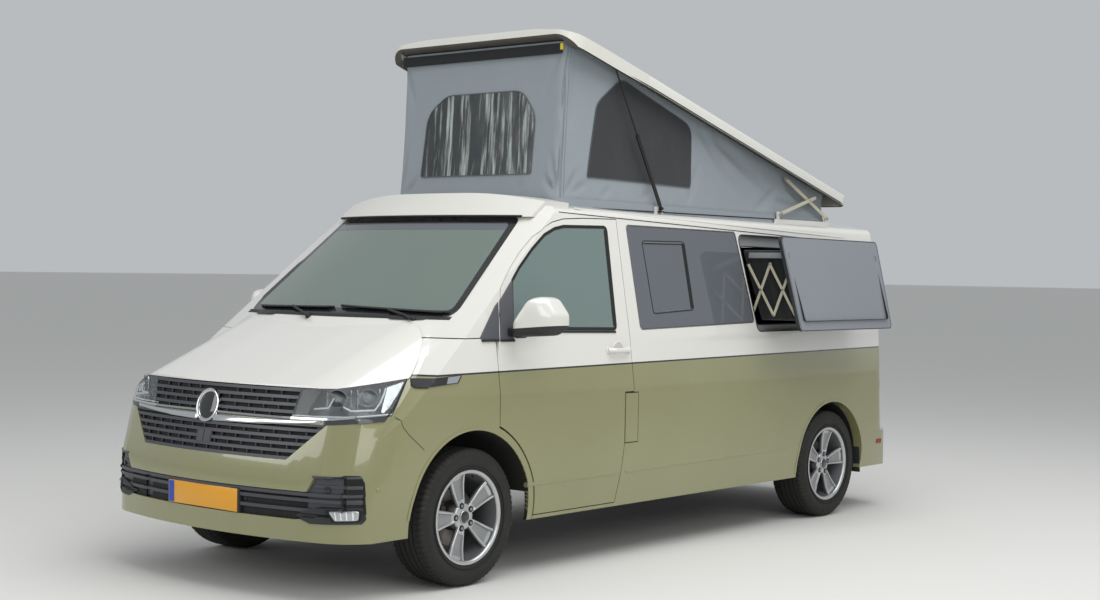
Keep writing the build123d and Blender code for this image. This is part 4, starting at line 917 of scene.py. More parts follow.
# Bumper: plate in its holder, fog lamps, sensors, towing eye cover
holder = bmesh.new()
block(holder, (0.050, 0.540, 0.118), (2.6220, 0, 0.4445))
round_edges(holder, 0.005, 3)
settle(holder, "plate_holder", PLASTIC, "body")
plate = bmesh.new()
block(plate, (0.0030, 0.520, 0.110), (2.6485, 0, 0.4450))
round_edges(plate, 0.0012, 2)
settle(plate, "number_plate_blank", PLATE_YELLOW, "body")
for v0, v1, mat, name in ((0.2170, 0.2560, PLATE_BLUE, "plate_band_front"),):
    strip = bmesh.new()
    block(strip, (0.0012, v1 - v0, 0.104), (2.6506, -(v0 + v1) / 2, 0.4450))
    settle(strip, name, mat, "body")
for side, name in ((1, "left"), (-1, "right")):
    # black sheets at the intake's ends: painted shade in the openings
    end = draped(rounded([(side * 0.833, 0.402), (side * 0.898, 0.396), (side * 0.913, 0.425), (side * 0.906, 0.570),
        (side * 0.893, 0.600), (side * 0.833, 0.601)], 0.012),
                 from_front, HULL, FRONT, 0.0025, 0.010, 0.006)
    settle(end, f"intake_end_painted_shade_{name}", PAINTED_SHADE_BLACK, "body", 50)
    for k, (z, reach, high) in enumerate(((0.432, 0.770, 0.0), (0.478, 0.9045, 0.020), (0.505, 0.9035, 0.014),
        (0.590, 0.897, 0.010), (0.545, 0.9025, 0.016))):
        if high:
            slat = band([(side * (0.70 if z > 0.52 else 0.835), z), (side * reach, z)], high, from_front, HULL, FRONT, 0.0050,
                0.010, step=0.006)
            round_edges(slat, 0.0022, 2, 55)
            settle(slat, f"intake_slat_end_{k}_{name}", SLATS, "body", 50)
    cheek = draped([(side * 0.600, 0.404), (side * 0.690, 0.372), (side * 0.900, 0.378), (side * 0.912, 0.400),
        (side * 0.906, 0.452), (side * 0.740, 0.452), (side * 0.660, 0.430)],
                   from_front, HULL, FRONT, 0.0055, 0.016, 0.008)
    round_edges(cheek, 0.004, 2, 60)
    settle(cheek, f"fog_lamp_surround_{name}", PLASTIC, "body", 50)
    # black well round the fog lamp: painted shade of its recess
    well = draped(rounded([(side * 0.762, 0.442), (side * 0.902, 0.444), (side * 0.899, 0.390), (side * 0.800, 0.386)], 0.010),
        from_front, HULL, FRONT, 0.0082, 0.004, 0.012)
    settle(well, f"fog_lamp_well_painted_shade_{name}", PAINTED_SHADE_BLACK, "body", 50)
    lens = draped(rounded([(side * 0.786, 0.436), (side * 0.896, 0.438), (side * 0.893, 0.395), (side * 0.815, 0.392)], 0.008),
        from_front, HULL, FRONT, 0.0105, 0.004, 0.012)
    round_edges(lens, 0.0015, 2, 60)
    settle(lens, f"fog_lamp_lens_{name}", REFLECTOR, "body", 50)
    for k in range(4):
        settle(band([(side * (0.815 + k * 0.021), 0.433), (side * (0.820 + k * 0.020), 0.397)], 0.0030, from_front, HULL, FRONT,
            0.0118, 0.002, step=0.01),
               f"fog_lamp_flute_{k}_{name}", GUIDE, "body", 50)
    centre = onto(HULL, (4.0, side * 0.769, 0.5320), FRONT, 0.004)
    square = bmesh.new()
    block(square, (0.014, 0.026, 0.024), centre, Matrix.Rotation(side * 0.55, 3, "Z"))
    round_edges(square, 0.003, 3)
    settle(square, f"radar_window_{name}", PIANO, "body", 50)
    for k, (y, z) in enumerate(((0.262, 0.455), (0.934, 0.534))):
        centre = onto(HULL, (4.0, side * 0.292, z), FRONT, 0.0) if y < 0.8 else onto(HULL, (at(0.634), side * 1.5, z),
            (0, -side, 0), 0.0)
        out = FRONT_OUT if y < 0.8 else Vector((0.45, side, 0)).normalized()
        button = bmesh.new()
        spun(button, [(0, 0.0035), (0.0085, 0.0035), (0.0095, 0.0028), (0.0095, 0.0008), (0.0115, 0.0008), (0.0115, -0.006),
            (0, -0.006)], centre, out, 24, (0, 0, 1))
        settle(button, f"parking_sensor_{k}_{name}", PAINT if k else PLASTIC, "body", 50)
cover = bmesh.new()
for z in (0.432, 0.478, 0.505):
    block(cover, (0.030, 0.070, 0.015), (nose_x(0.48, z) - 0.020, -0.480, z))
block(cover, (0.010, 0.072, 0.190), (nose_x(0.48, 0.49) - 0.032, -0.480, 0.487))
round_edges(cover, 0.002, 2)
settle(cover, "towing_eye_cover", SLATS, "body")


# ---------------------------------------------------------------- glass edges, wipers, mirrors, handles

SCREEN_SKIN = skin("windscreen")
shade = rounded([(-0.757, 1.331), (-0.652, 1.821), (0.652, 1.821), (0.757, 1.331)], 0.05)
settle(band(shade, 0.036, from_front, SCREEN_SKIN, FRONT, 0.0012, 0.0020, closed=True), "windscreen_edge_print", EDGE_PRINT,
    "body", 50)
settle(draped([(-0.664, 1.768), (-0.652, 1.822), (0.652, 1.822), (0.664, 1.768)], from_front, SCREEN_SKIN, FRONT, 0.0008, 0.0015),
       "windscreen_shade_band", DARK_GLASS, "body", 50)
settle(band([(-0.765, 1.3120), (0.765, 1.3120)], 0.016, from_front, HULL, FRONT, 0.0015, 0.005), "wiper_cowl", PLASTIC, "body")
settle(bead([(-0.690, 1.8405), (0.690, 1.8405)], 0.0065, from_front, HULL, FRONT, 0.002), "roof_cap_seal", SEAL, "body",
    60)
for name, foot, blade_at, ends in (("left", (0.585, 1.309), (0.40, 1.348), ((0.735, 1.340), (0.065, 1.360))),
                                   ("right", (-0.115, 1.309), (-0.31, 1.350), ((0.020, 1.352), (-0.655, 1.342)))):
    settle(bead([foot, blade_at], 0.0075, from_front, HULL, FRONT, 0.022), f"wiper_arm_{name}", PLASTIC, "body",
        60)
    blade = bead(ends, 0.0060, from_front, HULL, FRONT, 0.009)
    settle(blade, f"wiper_blade_{name}", SEAL, "body", 60)
    settle(bead([(ends[0][0] - 0.03, ends[0][1]), (ends[1][0] + 0.03, ends[1][1])], 0.0050, from_front, HULL, FRONT, 0.018),
        f"wiper_carrier_{name}",
           PLASTIC, "body", 60)
    nut = bmesh.new()
    spun(nut, [(0, 0.010), (0.010, 0.009), (0.013, 0.004), (0.015, -0.016), (0, -0.016)], onto(HULL, (4.0, *foot), FRONT, 0.022),
        (0.55, 0, 0.83), 24, (0, 1, 0))
    settle(nut, f"wiper_pivot_cap_{name}", PLASTIC, "body", 50)


def outline_m(points):
    return [(a / 1000, z / 1000) for a, z in points]


def pull_handle(side, a0, a1, z, body, name):
    """Bow handle with its pads and the finger scoop above it; the scoop's recess is a sheet of darker paint as painted
    shade.
    """
    lay, way = from_side(side), (0, -side, 0)
    spots = []
    for k in range(25):
        t = k / 24
        spots.append(onto(HULL, lay(a0 + (a1 - a0) * t, z), way, 0.003 + 0.026 * min(1.0, 2.6 * math.sin(math.pi * t))))
    bow = cord_mesh(spots, 0.0105, resolution=4)
    for v in bow.verts:
        v.co.z = z + (v.co.z - z) * 1.30
    settle(bow, f"{name}_handle", PAINT, body, 60)
    for k, a in enumerate((a0, a1)):
        pad = draped(rounded([(a - 0.018, z - 0.017), (a - 0.018, z + 0.017), (a + 0.018, z + 0.017), (a + 0.018, z - 0.017)],
            0.012), lay, HULL, way, 0.005, 0.008)
        round_edges(pad, 0.0025, 2, 60)
        settle(pad, f"{name}_handle_pad_{k}", PAINT, body, 50)
    m = (a0 + a1) / 2
    scoop = [(m + 0.042 * math.cos(t * math.pi / 12), z + 0.004 + 0.040 * math.sin(t * math.pi / 12)) for t in range(13)]
    settle(bead(scoop, 0.0024, lay, HULL, way, 0.0006, step=0.006), f"{name}_handle_scoop_edge", PAINT, body,
        60)
    # sheet of darker paint in the scoop: painted shade of the recess
    inner = [(m + 0.037 * math.cos(t * math.pi / 12), z + 0.004 + 0.035 * math.sin(t * math.pi / 12)) for t in range(13)]
    settle(draped(inner, lay, HULL, way, 0.0006, 0.0012), f"{name}_handle_scoop", SCOOP_PAINTED_SHADE, body, 50)


MIRROR_FORM = rounded([(0.962, 1.2195), (1.105, 1.2300), (1.1485, 1.275), (1.1485, 1.335), (1.100, 1.4245), (1.035, 1.4245),
    (0.964, 1.295)],
                      [0.020, 0.040, 0.030, 0.060, 0.070, 0.055, 0.060], 7)


def swept(y):
    """How far ahead of the mirror's middle its head lies at y: the outer end leans back."""
    return 0.020 - 0.64 * (abs(y) - 1.055)


DOOR_GLASS = outline_m([(-325, 1262), (-358, 1500), (-424, 1567), (-542, 1664), (-658, 1743), (-748, 1778), (-825, 1792),
    (-1190, 1798), (-1172, 1245)])
for side, name in ((1, "left"), (-1, "right")):
    lay, way, door = from_side(side), (0, -side, 0), f"door_{name}"
    settle(band(rounded(DOOR_GLASS, 0.025), 0.017, lay, HULL, way, 0.0015, 0.008, closed=True, step=0.04),
           f"door_glass_seal_{name}", SEAL, door, 50)
    settle(band([(-1.1655, 1.262), (-1.1815, 1.782)], 0.026, lay, HULL, way, 0.0022, 0.008, step=0.05),
        f"door_glass_rear_channel_{name}", SEAL, door, 50)
    settle(band([(-0.335, 1.2460), (-1.165, 1.2300)], 0.012, lay, HULL, way, 0.0040, 0.008, step=0.05),
        f"door_sill_moulding_{name}", PLASTIC, door, 50)
    for part, shape, mat, body in (("door", [(-0.2185, 1.207), (-0.2430, 1.4000), (-0.335, 1.488), (-0.356, 1.505),
        (-0.322, 1.205)], SAIL_GREY, door),
                                   ("front", [(-0.070, 1.2215), (-0.2050, 1.3760), (-0.2300, 1.3950), (-0.2070, 1.2085),
                                   (-0.086, 1.2060)], SAIL_GREY, "body")):
        sail = draped(shape, lay, HULL, way, 0.0060, 0.012)
        round_edges(sail, 0.0025, 2, 55)
        settle(sail, f"mirror_sail_{part}_{name}", mat, body, 50)
        foot = band([(-0.2185, 1.2035), (-0.322, 1.2015)] if part == "door" else [(-0.080, 1.2060), (-0.2055, 1.2050)], 0.012,
            lay, HULL, way, 0.0085, 0.012)
        settle(foot, f"mirror_sail_lip_{part}_{name}", PLASTIC, body, 50)
    # mirror head: rings of one rounded outline, from the domed front to the glass
    head = bmesh.new()
    rings = []
    for dx, scale in ((0.0750, 0.30), (0.0735, 0.50), (0.0690, 0.68), (0.0600, 0.82), (0.0440, 0.92), (0.0220, 0.975),
        (-0.0050, 1.0), (-0.0550, 1.0),
                      (-0.0700, 0.985), (-0.0750, 0.960), (-0.0735, 0.930), (-0.0640, 0.915)):
        rings.append([head.verts.new((at(-0.370) + dx + swept(1.060 + (y - 1.060) * scale), side * (1.060 + (y - 1.060) * scale),
            1.318 + (z - 1.318) * scale)) for y, z in MIRROR_FORM])
    for a, b in zip(rings, rings[1:]):
        for i in range(len(a)):
            head.faces.new((a[i], a[i - 1], b[i - 1], b[i]))
    head.faces.new(rings[0])
    head.faces.new(rings[-1][::-1])
    for z in (1.2585, 1.2625):
        bmesh.ops.bisect_plane(head, geom=head.verts[:] + head.edges[:] + head.faces[:], dist=1e-6, plane_co=(0, side * 0.96, z),
            plane_no=(0, -0.10 * side, 1))
    bmesh.ops.recalc_face_normals(head, faces=head.faces)
    for face in head.faces:
        c = face.calc_center_median()
        dark = 1 if c.z < 1.2625 + 0.10 * (abs(c.y) - 0.96) or c.x < at(-0.370) - 0.069 + swept(c.y) else 0
        face.material_index = dark
    shell = settle(head, f"mirror_shell_{name}", WHITE, door, 45, (PLASTIC,))
    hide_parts(f"mirror_{name}")
    glass = bmesh.new()
    face = glass.faces.new([glass.verts.new((at(-0.370) - 0.0700 + swept(1.060 + (y - 1.060) * 0.895),
        side * (1.060 + (y - 1.060) * 0.895), 1.318 + (z - 1.318) * 0.895)) for y, z in MIRROR_FORM])
    back = bmesh.ops.extrude_face_region(glass, geom=[face])["geom"]
    bmesh.ops.translate(glass, verts=[g for g in back if isinstance(g, bmesh.types.BMVert)], vec=(0.004, 0, 0))
    bmesh.ops.recalc_face_normals(glass, faces=glass.faces)
    settle(glass, f"mirror_glass_{name}", MIRROR_FACE, door, 50)
    arm = bmesh.new()
    block(arm, (0.062, 0.150, 0.046), (at(-0.305), side * 0.930, 1.2440))
    round_edges(arm, 0.014, 4)
    settle(arm, f"mirror_arm_{name}", PLASTIC, door, 50)
    arm = bmesh.new()
    block(arm, (0.078, 0.030, 0.066), (at(-0.305), side * 0.978, 1.2480))
    round_edges(arm, 0.012, 4)
    settle(arm, f"mirror_joint_cover_{name}", PLASTIC, door, 50)
    pull_handle(side, -1.085, -1.262, 1.130, door, f"door_{name}")
    # blind strip of the cab's belt trim behind the glass
    belt = bmesh.new()
    block(belt, (0.030, 0.008, 0.62), (at(-1.075), side * 0.800, 1.500), Matrix.Rotation(side * 0.13, 3, "X"))
    round_edges(belt, 0.003, 2)
    settle(belt, f"seat_belt_{name}", BELT, "body", 50)
pull_handle(-1, -1.405, -1.582, 1.130, "body", "sliding_door")

# Glass of the living room: dark edge lines, and the inset pane in the middle window
for side, tag, shape, radius in ((1, "middle_left", [(-1372, 1815), (-2452, 1804), (-2546, 1262), (-1394, 1238)], 0.022),
                                 (-1, "slide_right", [(-1400, 1790), (-2372, 1785), (-2372, 1262), (-1400, 1240)], 0.022),
                                 (-1, "rear_right", [(-2535, 1775), (-3640, 1765), (-3700, 1240), (-2575, 1240)], 0.040)):
    settle(band(rounded(outline_m(shape), radius), 0.007, from_side(side), HULL, (0, -side, 0), 0.0008, 0.005, closed=True,
        step=0.04),
           f"{tag}_window_edge", EDGE_PRINT, "body", 50)
for side, shift in ((1, 0.0), (-1, 0.0)):
    lay, way, tag = from_side(side), (0, -side, 0), "left" if side > 0 else "right"
    pane = rounded([(-1.505, 1.731), (-1.910, 1.734), (-1.927, 1.342), (-1.535, 1.323)], 0.022)
    settle(band(pane, 0.0048, lay, HULL, way, 0.0016, 0.0020, closed=True), f"inset_pane_line_{tag}", SEAL, "body",
        50)
    settle(band([(-1.9010, 1.724), (-1.9160, 1.350)], 0.030, lay, HULL, way, 0.0020, 0.0024), f"inset_pane_upright_{tag}", SEAL,
        "body", 50)
    settle(band([(-1.518, 1.7160), (-1.898, 1.7190)], 0.0050, lay, HULL, way, 0.0020, 0.0024), f"inset_pane_rail_{tag}", SEAL,
        "body", 50)
    settle(band([(-1.514, 1.7235), (-1.892, 1.7265)], 0.0060, lay, HULL, way, 0.0014, 0.0018), f"inset_pane_track_{tag}", STEEL,
        "body", 50)
    settle(band([(-1.552, 1.3330), (-1.900, 1.3490)], 0.0040, lay, HULL, way, 0.0018, 0.0022), f"inset_pane_foot_rail_{tag}",
        STEEL, "body", 50)

# ---------------------------------------------------------------- pod

# Run of the seal, just outside the hole in the wall, and the inside of the cloth tunnel
POD_SEAL = outline_m([(-2478, 1791), (-3649, 1781), (-3711, 1206), (-2573, 1206)])
POD_TUNNEL = rounded(outline_m([(-2553, 1700), (-3596, 1692), (-3642, 1275), (-2624, 1275)]), 0.02, 3)


def pod_fold(piece):
    """Gives a piece its own copy of its mesh."""
    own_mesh(piece)


BODY_WALL = skin("side_left", "pod_frame")
settle(band(rounded(POD_SEAL, 0.046), 0.0070, from_side(1), BODY_WALL, LEFT, 0.0015, 0.010, closed=True, step=0.04),
    "pod_frame_seal", SEAL, "body", 50)
frame_lip = rounded(outline_m([(-2530, 1722), (-3612, 1712), (-3664, 1245), (-2612, 1245)]), 0.025)
settle(band(frame_lip, 0.006, from_side(1), BODY_WALL, LEFT, 0.0012, 0.006, closed=True, step=0.04), "pod_frame_inner_seal", SEAL,
    "body", 50)
ring = [Vector((*p, 0)) for p in POD_TUNNEL]
ring = filled_in([tuple(p) for p in ring], 0.012, True)
cloth = bmesh.new()
rows = []
mid = Vector((-3.104, 1.486, 0))
for j in range(29):
    t = j / 28
    row = []
    for i, p in enumerate(ring):
        inward = (mid - p).normalized()
        side_y = 0.826 + max(0.0, 1.70 - p.y) * 0.225
        y = side_y - 0.018 + t * 0.312
        deep = 0.0060 * (0.5 - 0.5 * math.cos(t * 2 * math.pi * 4)) * math.sin(math.pi * t) ** 0.4
        deep += 0.0050 * max(0.0, noise.noise(Vector((i * 0.045, t * 4.2, 7.0)))) + 0.0022 * abs(noise.noise(Vector((i * 0.16,
            t * 9, 2.0))))
        spot = p + inward * deep
        row.append(cloth.verts.new((at(spot.x), y, spot.y)))
    rows.append(row)
for a, b in zip(rows, rows[1:]):
    for i in range(len(a)):
        cloth.faces.new((a[i - 1], a[i], b[i], b[i - 1]))
bmesh.ops.recalc_face_normals(cloth, faces=cloth.faces)
cloth_area = sum(f.calc_area() for f in cloth.faces)
bmesh.ops.solidify(cloth, geom=cloth.faces[:], thickness=0.002)
bellows = settle(cloth, "pod_bellows_cloth", BELLOWS, "body", 60)
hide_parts("pod_bellows")
pod_fold(bellows)
rail = bmesh.new()
for k, (a, slope, out) in enumerate(((-2.5530, 0.168, 1), (-3.5960, 0.109, -1))):
    z = 1.667
    x = at(a - (1.70 - z) * slope * out) + 0.0045 * out
    block(rail, (0.004, 0.290, 0.034), (x, 0.995, z), Matrix.Rotation(-math.atan(slope) * out, 3, "Y"))
round_edges(rail, 0.0012, 2)
rail = settle(rail, "pod_end_rails", FRAME_GREY, "body")
pod_fold(rail)
lattice = dress("pod_lattice", CREAM)
pod_fold(lattice)
rivets = bmesh.new()
for a, slope, out in ((-2.534, 0.168, 1), (-3.669, 0.109, -1)):
    for k in range(2):
        for y, z in ((0.932 + k * 0.154, 1.4615), (1.009, 1.617), (1.009, 1.306)):
            x = at(a) - 0.031 * out - slope * (1.5 - z) + (0.0085 if out > 0 else -0.0085)
            spun(rivets, [(0, -0.004), (0.0075, -0.004), (0.0075, 0.0012), (0.005, 0.0030), (0, 0.0035)], (x, y, z), (out, 0, 0),
                14, (0, 1, 0))
rivets = settle(rivets, "pod_lattice_rivets", STEEL, "body", 50)
pod_fold(rivets)
panel_edge = rounded([(a + (0.004 if a > -3 else -0.004) * -1, z) for a,
    z in outline_m([(-2492, 1778), (-3636, 1768), (-3696, 1219), (-2586, 1219)])], 0.034)
PANEL_SKIN = skin("pod_panel")
settle(band(panel_edge, 0.005, from_side(1), PANEL_SKIN, LEFT, 0.0002, 0.010, closed=True, step=0.04), "pod_panel_edge_trim",
    PANEL_EDGE, "pod_panel", 50)


# ---------------------------------------------------------------- wheels

def wheel_frame(side, x):
    return Vector((x, 0, HUB_Z)), (0, side, 0)


for place, x in (("front", AXLE_X), ("rear", AXLE_X - WHEELBASE)):
    for side, name in ((1, "left"), (-1, "right")):
        body = f"wheel_{place}_{name}"
        centre, axis = wheel_frame(side, x)
        y0, y1 = HALF_TRACK - HALF_TYRE, HALF_TRACK + HALF_TYRE
        # tyre: grooved crown, ribbed shoulders, bead and side wall with raised rings
        steps = 288
        profile = [(0.2205, y0 + 0.022), (0.2320, y0 + 0.0135), (0.2400, y0 + 0.0100), (0.2420, y0 + 0.0070),
            (0.2700, y0 + 0.0004), (0.2850, y0 + 0.0004),
                   (0.3000, y0 + 0.0020), (0.3120, y0 + 0.0060), (0.3260, y0 + 0.0125), (0.3345, y0 + 0.0200),
                   (0.3370, y0 + 0.0265), (0.3385, y0 + 0.038), (0.3395, y0 + 0.0520)]
        crown = []
        for y in (-0.0520, -0.0180, 0.0180, 0.0520):
            crown += [(0.3398, HALF_TRACK + y - 0.0050), (0.3325, HALF_TRACK + y - 0.0035), (0.3325, HALF_TRACK + y + 0.0035),
                (0.3398, HALF_TRACK + y + 0.0050)]
        profile = profile + crown + [(r, 2 * HALF_TRACK - y) for r, y in reversed(profile)]
        tyre = bmesh.new()
        spun(tyre, profile + [(0.2200, y1 - 0.030), (0.2200, y0 + 0.030), profile[0]], centre, axis, steps, (1, 0, 0))
        for v in tyre.verts:
            dx, dz = v.co.x - x, v.co.z - HUB_Z
            r, k = math.hypot(dx, dz), round(math.atan2(dz, dx) / math.tau * steps) % steps
            off = abs(abs(v.co.y) - HALF_TRACK)
            cut = 0.0
            if r > 0.3255 and off > 0.060 and k % 4 == 0:
                cut = 0.0080
            elif 0.339 < r and 0.026 < off < 0.046 and (k + 3) % 6 == 0:
                cut = 0.0040
            elif 0.339 < r and off < 0.0125 and k % 12 == 0:
                cut = 0.0030
            if cut:
                v.co.x, v.co.z = x + dx * (r - cut) / r, HUB_Z + dz * (r - cut) / r
        tyre = settle(tyre, f"tyre_tread_{place}_{name}", RUBBER, body, 28)
        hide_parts(f"tyre_{place}_{name}")
        marks = bmesh.new()
        for r in (0.2520, 0.2960, 0.3060):
            spun(marks, [(r - 0.0012, y1 - 0.0040), (r - 0.0006,
                y1 + (0.0006 if r < 0.26 else -0.0010) - (0.0 if r < 0.30 else 0.0022)),
                         (r + 0.0006, y1 + (0.0006 if r < 0.26 else -0.0010) - (0.0 if r < 0.30 else 0.0022)),
                         (r + 0.0012, y1 - 0.0060), (r - 0.0012, y1 - 0.0040)],
                 centre, axis, 120, (1, 0, 0))
        settle(marks, f"tyre_wall_ribs_{place}_{name}", RUBBER, body, 28)
        # rim: lip and barrel
        barrel = bmesh.new()
        spun(barrel, [(0.2330, y1 - 0.0130), (0.2335, y1 - 0.0090), (0.2310, y1 - 0.0072), (0.2240, y1 - 0.0078),
            (0.2175, y1 - 0.0110), (0.2130, y1 - 0.0200), (0.2105, y1 - 0.0400),
                      (0.1980, y1 - 0.0700), (0.1960, y0 + 0.060), (0.2090, y0 + 0.0220), (0.2200, y0 + 0.0180),
                      (0.2215, y0 + 0.0240), (0.2060, y0 + 0.0640), (0.2060, y1 - 0.0720),
                      (0.2215, y1 - 0.0300), (0.2330, y1 - 0.0130)], centre, axis, 120, (1, 0, 0))
        # inside of the barrel in a darker copy of the lacquer: painted shade
        for face in barrel.faces:
            face.material_index = int(abs(face.calc_center_median().y) < y1 - 0.030)
        rim = settle(barrel, f"rim_barrel_{place}_{name}", ALLOY, body, 45, (WHEEL_DEEP_PAINTED_SHADE,))
        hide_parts(f"rim_{place}_{name}")
        for face in rim.data.polygons:
            face.material_index = int(abs(face.center.y) < y1 - 0.030)
        first = 0 if place == "front" else 26
        spokes = bmesh.new()
        for k in range(5):
            turn = math.radians(first + 72 * k)
            along, across = Vector((math.cos(turn), 0, math.sin(turn))), Vector((-math.sin(turn), 0, math.cos(turn)))
            rows = []
            for r, half, crest, top, web in ((0.040, 0.0210, 0.0100, 0.8900, 0.8895), (0.074, 0.0285, 0.0105, 0.8915, 0.8900),
                (0.086, 0.0315, 0.0110, 0.8920, 0.8860),
                                             (0.092, 0.0325, 0.0110, 0.8922, 0.8845), (0.150, 0.0445, 0.0140, 0.8950, 0.8850),
                                             (0.195, 0.0535, 0.0160, 0.9030, 0.8930), (0.2135, 0.0575, 0.0170, 0.9110, 0.9010)):
                p = Vector((x, 0, HUB_Z)) + along * r
                cut = [(-half, top - 0.009), (-half + 0.0030, top - 0.0016), (-half + 0.0055, top), (-half + crest, top - 0.0004),
                    (-half + crest + 0.0040, web + 0.0004),
                       (-half + crest + 0.0075, web)]
                cut = [(h, y) for h, y in cut if h < -0.001] + [(0.0, web)] + [(-h, y) for h, y in reversed(cut) if h < -0.001]
                cut += [(half * 0.86, 0.8665), (-half * 0.86, 0.8665)]
                rows.append([spokes.verts.new(p + across * h + Vector((0, side * y, 0))) for h, y in cut])
            for a, b in zip(rows, rows[1:]):
                for i in range(len(a)):
                    spokes.faces.new((a[i - 1], a[i], b[i], b[i - 1]))
            spokes.faces.new(rows[0])
            spokes.faces.new(rows[-1][::-1])
        bmesh.ops.recalc_face_normals(spokes, faces=spokes.faces)
        arms = settle(spokes, f"rim_spokes_{place}_{name}", ALLOY, body, 24, (WHEEL_DEEP_PAINTED_SHADE,))
        arms.data.materials.append(WEB_PAINTED_SHADE)
        # low web faces and spoke sides in darker copies of the lacquer: painted shade, darkest on the deep sides
        for face in arms.data.polygons:
            reach = math.hypot(face.center.x - x, face.center.z - HUB_Z)
            low = reach > 0.088 and abs(face.normal.y) > 0.7 and face.center.y * side < 0.8905 + 0.10 * max(0.0, reach - 0.14)
            face.material_index = 1 if abs(face.normal.y) < 0.30 and face.center.y * side < 0.884 else 2 if low or abs(face.normal.y) < 0.7 else 0
        hub = bmesh.new()
        spun(hub, [(0.0, 0.8850), (0.0320, 0.8850), (0.0340, 0.8905), (0.0580, 0.8900), (0.0640, 0.8870), (0.0680, 0.8780),
            (0.0680, 0.8480), (0, 0.8480)], centre, axis, 80, (1, 0, 0))
        settle(hub, f"rim_hub_{place}_{name}", ALLOY, body, 40)
        cap = bmesh.new()
        spun(cap, [(0, 0.8968), (0.0150, 0.8964), (0.0255, 0.8950), (0.0290, 0.8930), (0.0300, 0.8860), (0, 0.8860)], centre,
            axis, 64, (1, 0, 0))
        settle(cap, f"hub_cap_{place}_{name}", PIANO, body, 50)
        cap = bmesh.new()
        spun(cap, [(0.0285, 0.8930), (0.0290, 0.8965), (0.0310, 0.8970), (0.0328, 0.8955), (0.0330, 0.8880), (0.0285, 0.8880),
            (0.0285, 0.8930)], centre, axis, 64, (1, 0, 0))
        settle(cap, f"hub_cap_ring_{place}_{name}", CHROME, body, 50)
        # black wells round the bolts: painted shade in their holes
        wells, bolts = bmesh.new(), bmesh.new()
        for k in range(5):
            turn = math.radians(first + 72 * k)
            spot = centre + Vector((math.cos(turn), 0, math.sin(turn))) * 0.0580
            spun(wells, [(0, 0.8912), (0.0125, 0.8912), (0.0140, 0.8925), (0.0152, 0.8925), (0.0152, 0.8890), (0, 0.8890)], spot,
                axis, 28, (1, 0, 0))
            spun(bolts, [(0, 0.8958), (0.0060, 0.8958), (0.0085, 0.8946), (0.0092, 0.8930), (0.0092, 0.8900), (0, 0.8900)], spot,
                axis, 6, (1, 0, 0))
        settle(wells, f"bolt_wells_{place}_{name}", PAINTED_SHADE_BLACK, body, 50)
        settle(bolts, f"wheel_bolts_{place}_{name}", STEEL, body, 30)
        valve = cord_mesh([centre + Vector((0.2110 * math.cos(1.885), side * 0.872, 0.2110 * math.sin(1.885))),
            centre + Vector((0.2020 * math.cos(1.885), side * 0.892, 0.2020 * math.sin(1.885)))], 0.0042)
        settle(valve, f"tyre_valve_{place}_{name}", SEAL, body, 50)
        rotor = bmesh.new()
        spun(rotor, [(0.0700, 0.8000), (0.1490, 0.8000), (0.1490, 0.7975), (0.0700, 0.7975), (0.0700, 0.8000)], centre, axis, 90,
            (1, 0, 0))
        for k in range(18):
            turn = math.tau * k / 18
            for r in (0.100, 0.126):
                spun(rotor, [(0, 0.8006), (0.0035, 0.8006), (0.0035, 0.7990), (0, 0.7990)],
                    centre + Vector((math.cos(turn + r * 6), 0, math.sin(turn + r * 6))) * r, axis, 8, (1, 0, 0))
        settle(rotor, f"brake_disc_face_{place}_{name}", DISC, body, 40)
        bell = bmesh.new()
        spun(bell, [(0, 0.8460), (0.0660, 0.8460), (0.0720, 0.8400), (0.0740, 0.7990), (0, 0.7990)], centre, axis, 60, (1, 0, 0))
        settle(bell, f"brake_bell_{place}_{name}", IRON, body, 40)
        caliper = bmesh.new()
        block(caliper, (0.062, 0.078, 0.130), (x + (0.118 if place == "front" else -0.118), side * 0.8000, HUB_Z + 0.015))
        block(caliper, (0.034, 0.030, 0.090), (x + (0.110 if place == "front" else -0.110), side * 0.8420, HUB_Z + 0.015))
        round_edges(caliper, 0.008, 3)
        settle(caliper, f"brake_caliper_{place}_{name}", IRON, f"knuckle_{name}" if place == "front" else "body", 40)


# ---------------------------------------------------------------- roof, sides and tail

